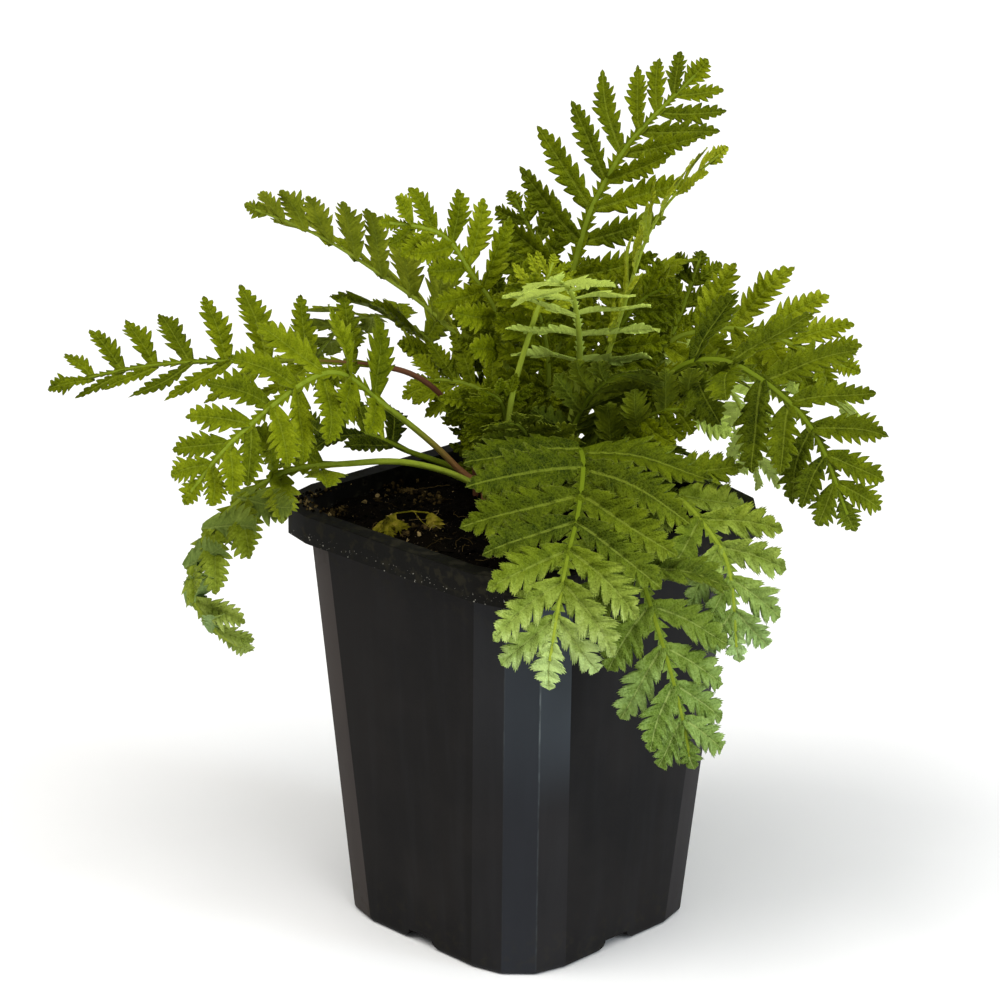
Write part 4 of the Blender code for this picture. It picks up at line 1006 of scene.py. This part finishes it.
class Frond:
    """One whole leaf: its stem, its stations and its leaflets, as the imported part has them."""

    def __init__(self, name, foot, route, facing, bare, longest, fold, droop, pairs=6, turn=0,
                 lean=None):
        self.name = name
        self.node = name if name == "young_tuft" else "frond_" + name
        self.longest = longest
        self.pairs = pairs
        self.fold = fold
        self.droop = math.radians(droop)
        self.turn = turn
        self.lean = lean or {}
        self.stem = Stem(foot, route, facing, bare)
        self.random = random.Random(name)
        self.dice = random.Random("detail of " + name)
        start = self.stem.blade_start
        blade = self.stem.length - start
        self.stations = []
        self.spacings = []
        places = pairs + TIP_GAP
        for pair in range(pairs):
            share = pair / pairs
            reach = (pair + FIRST_GAP) / places
            middle = start + blade * reach * (1 + SPACING_TAPER * (1 - reach))
            spacing = blade * (1 + SPACING_TAPER * (1 - 2 * reach)) / places
            self.spacings.append(spacing)
            base = min(0.19 * spacing, 0.08 * longest)
            half = max(WING_HALF * (1 - 0.5 * share) * min(1, longest / 30), 0.9)
            self.stations += [(middle - base, half), (middle + base, half)]
        self.end = self.stations[-1][0] + 0.45 * self.spacings[-1]
        self.tip_length = self.stem.length - self.end

    def root(self, station, side):
        """One end of a leaflet's root, on the edge of the midrib's wing."""
        distance, half = self.stations[station]
        place, heading, upper = self.stem.at(distance)
        return place + upper.cross(heading) * (side * half)

    def nominal(self, pair, side):
        """A leaflet of this pair as the rule places it, before any bending clear."""
        share = pair / self.pairs
        base = 0.5 * (self.root(2 * pair, side) + self.root(2 * pair + 1, side))
        middle = 0.5 * (self.stations[2 * pair][0] + self.stations[2 * pair + 1][0])
        _, heading, upper = self.stem.at(middle)
        left = upper.cross(heading)
        jitter = [self.random.uniform(-1, 1) for _ in range(4)]
        lift, ahead = self.lean.get(side, (0, 0))
        angle = FIRST_ANGLE - ANGLE_CLOSING * share - ahead + ANGLE_SPREAD * jitter[0]
        out, _ = swung(side * left, upper, self.fold + lift + ANGLE_SPREAD * jitter[1])
        along, _ = swung(heading, out, angle)
        forward = square_to(heading, along)
        forward, face = swung(forward, side * forward.cross(along), self.turn)
        profile = (1 - share) ** 0.5 * (0.82 + 0.18 * min(1, share / 0.25))
        length = self.longest * max(profile, SHORTEST_LEAFLET) * (1 + 0.05 * jitter[2])
        room = LEAFLET_FILL * self.spacings[pair] * math.sin(math.radians(angle))
        width = min(room, WIDEST_LEAFLET * length)
        droop = self.droop * (1 + 0.5 * jitter[3])
        return Leaflet(base, along, forward, face, length, width, droop)

    def tip(self):
        """The leaflet that ends the leaf."""
        place, heading, upper = self.stem.at(self.end)
        length = max(self.tip_length, TIP_LENGTH * self.longest)
        return Leaflet(place, heading, upper.cross(heading), upper, length, TIP_WIDTH * length,
                       0.5 * self.droop)

    def add_stalk(self, heap):
        """The stalk and midrib: a tapering tube with a shallow groove along its upper side."""
        count = int(self.end / 2.6)
        distances = np.linspace(0, self.end + 0.5 * self.tip_length, count)
        angles = np.arange(STALK_SIDES) * 2 * math.pi / STALK_SIDES
        groove = 1 - 0.42 * np.exp(-((angles - math.pi / 2) / 0.55) ** 2)
        start = self.stem.blade_start
        scale = min(1, 0.45 + self.longest / 50)
        points = []
        for distance in distances:
            place, heading, upper = self.stem.at(distance)
            left = upper.cross(heading)
            into = max(0, (distance - start) / (self.stem.length - start))
            half = scale * (1.50 - 0.30 * min(1, distance / max(start, 1)) - 0.70 * into ** 0.7)
            foot_swell = 1 + 0.25 * math.exp(-(distance / 10) ** 2)
            for angle, sunk in zip(angles, groove):
                points.append(place + left * (half * foot_swell * math.cos(angle))
                              + upper * (0.84 * half * foot_swell * math.sin(angle) * sunk))
        rows = np.arange(count * STALK_SIDES).reshape(count, STALK_SIDES)
        after = np.roll(rows, -1, axis=1)
        quads = np.stack([rows[:-1], after[:-1], after[1:], rows[1:]], -1).reshape(-1, 4)
        climb = np.repeat(distances / self.stem.length, STALK_SIDES)
        heap.add(points, quads, stalk=1.0, along=climb, tone=0.0, under=0.0, rib=0.0,
                 vein=9.0, edge=0.0)
        heap.faces.append(np.array([rows[0][::-1]]) + heap.count - len(points))
        heap.faces.append(np.array([rows[-1]]) + heap.count - len(points))

    def add_wing(self, heap):
        """The narrow wing along the midrib, with a small tooth or two between leaflets."""
        distances = [self.stem.blade_start - 5]
        halves = [0.7]
        for index in range(self.pairs):
            near, half = self.stations[2 * index]
            half *= 0.5 if self.name in NARROW_WINGS else 1.0
            far = self.stations[2 * index + 1][0]
            ahead = self.stations[2 * index + 2][0] if index + 1 < self.pairs else self.end
            distances += [near, 0.5 * (near + far), far]
            halves += [half, half, half]
            gap = ahead - far
            for spot, size in ((0.10, 0.5), (0.40, 1.7), (0.48, 0.6), (0.76, 1.5), (0.86, 0.6)):
                distances.append(far + gap * spot)
                halves.append(half * size * (1 + 0.2 * self.dice.uniform(-1, 1)))
        distances += [self.end, self.end + 0.25 * self.tip_length]
        halves += [1.3, 0.5]
        across = np.array([-1, -0.6, -0.25, 0, 0.25, 0.6, 1])
        middle = np.zeros((len(distances), len(across), 3))
        face = np.zeros_like(middle)
        for index, (distance, half) in enumerate(zip(distances, halves)):
            place, heading, upper = self.stem.at(distance)
            left = np.array(upper.cross(heading))
            for row, spread in enumerate(across):
                lean = 0.5 * abs(spread) * max(0, half - 1)
                lifted = 0.16 * half * abs(spread)
                middle[index, row] = (np.array(place) + left * (half * spread)
                                      + np.array(heading) * lean + np.array(upper) * lifted)
                face[index, row] = upper
        thick = np.full(middle.shape[:2], BLADE_THICK)
        wide = np.abs(across)[None, :] * np.array(halves)[:, None]
        add_blade(heap, middle, face, thick, rib=wide, vein=2.0, edge=np.abs(across)[None, :],
                  along=0.1, tone=0.0, stalk=0.0)

    def make(self):
        """The whole leaf as one object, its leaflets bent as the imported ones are."""
        heap = Heap(*LEAF_PAINTS)
        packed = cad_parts.get(self.node)
        corners = [vert.co / MM for vert in packed.data.vertices] if packed else [Vector()]
        tree = KDTree(len(corners))
        for index, corner in enumerate(corners):
            tree.insert(corner, index)
        tree.balance()
        self.add_stalk(heap)
        self.add_wing(heap)
        for pair in range(self.pairs):
            lobed = (0.52 + 0.12 * pair / self.pairs) * (self.name in LOBED)
            lobed *= pair > 2 or self.name != "front"
            for side in (1, -1):
                nominal = self.nominal(pair, side)
                leaflet = as_grown(nominal, tree, 29)
                if leaflet is None:
                    leaflet = nominal.bent(-6, 0, 0.8 if packed else 1.0)
                stray = [self.dice.uniform(-1, 1) for _ in range(3)]
                roll = ROLLED.get(self.name, 0) * min(1, pair / 2) * (side == -1)
                outward = (pair / self.pairs) ** 2
                longer = 0.98 + 0.09 * stray[2] + 0.26 * outward
                leaflet = leaflet.bent(11 * stray[0] + roll, 9 + 11 * stray[1], longer)
                broad = BROAD.get(self.name, 1.15) * (1 + 0.4 * outward)
                add_leaflet(heap, leaflet, self.stations[2 * pair][1], self.dice, lobed=lobed,
                            broad=broad)
        leaflet = as_grown(self.tip(), tree, 999) or self.tip()
        leaflet = leaflet.bent(0, TIP_TWIST.get(self.name, 0), 1)
        add_leaflet(heap, leaflet, 0.5, self.dice, tip=True, lobed=0.6 * (self.name in LOBED))
        return heap.make("leaf_" + self.name, smooth_angle=75)


def leaf_finish(name, light):
    """Olive green, pale veins, fine puckers, paler and greyer below; painted light, highlight,
    shade.
    """
    finish = Finish(name, roughness=0.46, gloss=0.025)
    leaf_tone_and_painted_light = finish.paint("leaf_tone_and_painted_light")
    greyness_and_painted_highlight = finish.paint("greyness_and_painted_highlight")
    under = finish.paint("under")
    stalk = finish.paint("stalk")
    tone = finish.paint("tone")
    mottle = finish.grain(5.0, 3.0)
    fine = finish.grain(0.9, 3.0)
    # Painted shade in the hollow along each leaflet's midrib.
    midrib_painted_shade = 1 - finish.paint("rib").above(0.0, 4.5)
    # Leaf tone with painted light and shade, lighter on the lower hanging parts.
    shade = leaf_tone_and_painted_light * 0.5 + 0.66 + tone * 0.13 - midrib_painted_shade * 0.14
    shade = shade + (mottle - 0.5) * 0.6 + (fine - 0.5) * 0.45
    green = finish.node("ValToRGB", {0: shade}, stops=[
        (0.0, (0.013, 0.022, 0.0005)), (0.35, (0.076, 0.099, 0.0008)),
        (0.62, (0.145, 0.178, 0.0014)), (1.0, (0.310, 0.350, 0.014))])
    grey = finish.node("ValToRGB", {0: shade}, stops=[
        (0.0, (0.022, 0.050, 0.004)), (0.5, (0.095, 0.170, 0.026)),
        (0.8, (0.240, 0.370, 0.120)), (1.0, (0.420, 0.590, 0.270))])
    # Grey green for the greyer undersides, and a painted highlight on lower hanging leaves.
    green = finish.mix(greyness_and_painted_highlight, green, grey)
    rib = 1 - finish.paint("rib").above(0.14, 0.40)
    side_vein = (1 - finish.paint("vein").above(0.06, 0.30)) * (1 - finish.paint("edge")) * 0.4
    veins = finish.node("Math", {0: rib, 1: side_vein}, operation="MAXIMUM")
    vein_colour = finish.mix(greyness_and_painted_highlight, (0.22, 0.27, 0.02), (0.30, 0.38, 0.12))
    green = finish.mix(veins * (0.40 + 0.5 * greyness_and_painted_highlight), green, vein_colour)
    rim = finish.paint("edge").above(0.90, 1.0) * (1 - stalk)
    green = finish.mix(rim * 0.25, green, (0.20, 0.22, 0.05))
    below = finish.mix(0.6, green, (0.170, 0.255, 0.100))
    green = finish.mix(under * (0.1 + 0.9 * greyness_and_painted_highlight), green, below)
    climb = finish.paint("along")
    red = finish.paint("red")
    red_end = (red - climb).above(0.22, 0.42)
    # Stalk tone, with painted light per leaf, and stalks painted lighter near the soil where the
    # crown shades them.
    stem_tone_and_painted_light = finish.grain(2.0, 3.0, (1, 1, 0.3)) * 0.7 + leaf_tone_and_painted_light * 0.8
    stem_tone_and_painted_light = stem_tone_and_painted_light + (1 - climb.above(0.1, 0.5)) * 0.4
    stem_colour = finish.mix(stem_tone_and_painted_light, (0.12, 0.165, 0.008), (0.32, 0.395, 0.040))
    pink_brown = (0.270, 0.120, 0.050)
    red_colour = finish.mix(red.above(0.55, 0.95), pink_brown, (0.085, 0.034, 0.018))
    stem_colour = finish.mix(red_end * red.above(0.0, 0.6), stem_colour, red_colour)
    green = finish.mix(stalk, green, stem_colour)
    # Pale leaves: undersides painted lighter than tops, partly their paler underside and partly
    # painted light where they face down into shade.
    if light:
        pale = finish.mix(under, (0.38, 0.48, 0.09), (0.62, 0.78, 0.15))
        green = finish.mix(0.82 - 0.70 * stalk, green, pale)
    cells = finish.node("TexVoronoi", {"Vector": finish.place(), "Scale": 1.0},
                        feature="DISTANCE_TO_EDGE")
    net = (1 - cells.above(0.0, 0.16)) * (1 - stalk)
    green = finish.mix(net * (0.10 + 0.22 * greyness_and_painted_highlight), green, vein_colour)
    finish.link("Base Color", green)
    finish.link("Roughness", 0.42 + 0.16 * under + 0.14 * mottle)
    puckers = cells.above(0.0, 0.45) * (1 - stalk) * (1 - 0.6 * under)
    swell = finish.paint("vein").above(0.0, 1.0) * (1 - stalk)
    relief = puckers * 0.6 + finish.grain(0.35, 2.0) * 0.2 + swell * 0.6 - veins * 0.5
    finish.bump(relief, 0.4, 0.9)
    return finish.material


leaf_green = leaf_finish("leaf_green", False)
pale_green = leaf_finish("pale_leaf_green", True)
# Below this height the leaves are painted lighter and greyer, a painted light and a painted
# highlight that grow downwards, most on the front leaf.
SAG_TOP = 172
SAG_DEPTH = 55
for name, values in (FRONDS | CROWN).items():
    frond = Frond(name, **values)
    leaf = frond.make()
    pale = name in PALE_FRONDS
    leaf.data.materials.append(pale_green if pale else leaf_green)
    leaf_tone_and_painted_light, greyness_and_painted_highlight, red = TINTS.get(name, (-0.18, 0.0, 0.1))
    sag = np.array([(SAG_TOP - vert.co.z / MM) / SAG_DEPTH for vert in leaf.data.vertices])
    sag = np.clip(sag, 0, 1)
    under = np.array([point.value for point in leaf.data.attributes["under"].data])
    # Lower parts painted lighter (painted light) and greyer (painted highlight); undersides
    # greyer still.
    paints = {"leaf_tone_and_painted_light": leaf_tone_and_painted_light - 0.2 + (2.3 if name == "front" else 0.6) * sag,
              "greyness_and_painted_highlight": greyness_and_painted_highlight * (0.12 + 1.2 * sag) * np.where(under > 0.5, 2.5, 1.0),
              "red": np.full(len(sag), red)}
    for paint, values in paints.items():
        leaf.data.attributes.new(paint, "FLOAT", "POINT").data.foreach_set("value", values)
    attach(leaf, "root")
    if name in FRONDS:
        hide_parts(frond.node)

# The withered sprig: a dead leaf end that has dropped onto the soil and curled up as it dried,
# brittle and straw yellow on a thread of stalk.
sprig = Heap(*LEAF_PAINTS)
dice = random.Random("withered sprig")
for route, thickness in (
        (((-30, -8, 149.0), (-32.5, -9, 151.0), (-38, -10, 151.8), (-43, -11, 151.4),
          (-46.5, -12, 150.2), (-47.5, -13.5, 148.8)), 0.38),
        (((-37, -10, 151.6), (-36, -13, 151.2), (-34, -16, 149.8), (-31.5, -18, 148.8)), 0.15)):
    points, faces = thread(route, np.linspace(thickness, 0.6 * thickness, len(route)), 7)
    sprig.add(points, faces, stalk=1.0, along=0.9, vein=9.0)
for base, along, length, width in (
        ((-31.5, -8.8, 150.8), (0.25, -0.80, -0.36), 9.5, 7.0),
        ((-46.0, -12.0, 150.6), (0.60, -0.70, -0.22), 11.5, 5.5),
        ((-47.0, -13.0, 149.8), (0.12, -0.95, -0.12), 11.0, 5.5),
        ((-47.5, -14.0, 149.4), (-0.45, -0.85, -0.08), 8.5, 4.5),
        ((-44.0, -11.3, 151.2), (-0.30, -0.80, -0.36), 8.0, 4.5)):
    along = Vector(along).normalized()
    forward = square_to(Vector((1, 0.1, 0.2)), along)
    leaflet = Leaflet(Vector(base), along, forward, along.cross(forward), length, width, 0.9)
    add_leaflet(sprig, leaflet, 0.3, dice, shrivel=1.0, broad=1.0)
withered = sprig.make("withered_sprig", smooth_angle=75)
dry = Finish("withered_leaf", roughness=0.78, gloss=0.05)
straw = dry.node("ValToRGB", {0: dry.grain(3.0, 4.0) + 0.12 * dry.paint("tone")}, stops=[
    (0.3, (0.040, 0.036, 0.002)), (0.5, (0.112, 0.100, 0.004)),
    (0.7, (0.230, 0.180, 0.022))])
dry.link("Base Color", straw)
dry.bump(dry.grain(0.7, 4.0), 0.35, 0.8)
withered.data.materials.append(dry.material)
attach(withered, "root")
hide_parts("fallen_leaflet")

# The studio: a plain pale floor that runs out of sight, large soft lights overhead and at the
# left, and the camera where the photograph's was.
bpy.ops.mesh.primitive_plane_add(size=12, location=(0, 0, 0))
floor = bpy.context.object
floor.name = "studio_floor"
paper = Finish("pale_floor", roughness=0.9, gloss=0.1)
paper.link("Base Color", paper.mix(paper.grain(60.0, 2.0), (0.86, 0.86, 0.86),
                                   (0.89, 0.89, 0.89)))
floor.data.materials.append(paper.material)


def add_light(name, towards, softness, strength, colour=(1, 1, 1)):
    """A far soft light, seen from the plant in this direction and this many degrees wide."""
    bpy.ops.object.light_add(type="SUN", location=(0, 0, 2))
    light = bpy.context.object
    light.name = name
    light.rotation_euler = Vector(towards).to_track_quat("Z", "Y").to_euler()
    light.data.angle = math.radians(softness)
    light.data.energy = strength
    light.data.color = colour


add_light("key_light", (-0.50, -0.34, 1.0), 42, 2.1, (1.0, 0.99, 0.96))
add_light("second_light", (0.36, -0.46, 1.0), 42, 1.5, (1.0, 0.99, 0.97))
add_light("fill_light", (0.8, -0.7, 0.7), 60, 0.35, (0.93, 0.97, 1.0))
bpy.ops.object.light_add(type="AREA", location=(1.25, -0.62, 0.30))
strip_light = bpy.context.object
strip_light.name = "strip_light"
strip_light.rotation_euler = Vector((1.25, -0.62, 0.22)).to_track_quat("Z", "Y").to_euler()
strip_light.data.shape = "RECTANGLE"
strip_light.data.size = 0.30
strip_light.data.size_y = 0.7
strip_light.data.energy = 10
strip_light.data.color = (0.80, 0.90, 1.0)
strip_light.visible_camera = False
world = bpy.data.worlds.new("white_room")
bpy.context.scene.world = world
world.use_nodes = True
background = world.node_tree.nodes["Background"].inputs
background["Color"].default_value = (1, 1, 1, 1)
background["Strength"].default_value = 0.30

CAMERA_TILT = math.radians(18.31)
CAMERA_DISTANCE = 1.167
CAMERA_ROLL = 0.010
target = Vector((-7.69, 0, 152.9)) * MM
back = Vector((0, -math.cos(CAMERA_TILT), math.sin(CAMERA_TILT)))
side = Vector((0, 0, 1)).cross(back).normalized()
rise = back.cross(side)
bpy.ops.object.camera_add()
camera = bpy.context.object
camera.name = "camera"
camera.data.sensor_width = 36
camera.data.lens = 121.5
camera.data.clip_end = 30
upright = Matrix((side, rise, back)).transposed().to_4x4()
camera.matrix_world = (Matrix.Translation(target + back * CAMERA_DISTANCE) @ upright
                       @ Matrix.Rotation(CAMERA_ROLL, 4, "Z"))
bpy.context.scene.camera = camera
bpy.context.scene.view_settings.view_transform = "Standard"
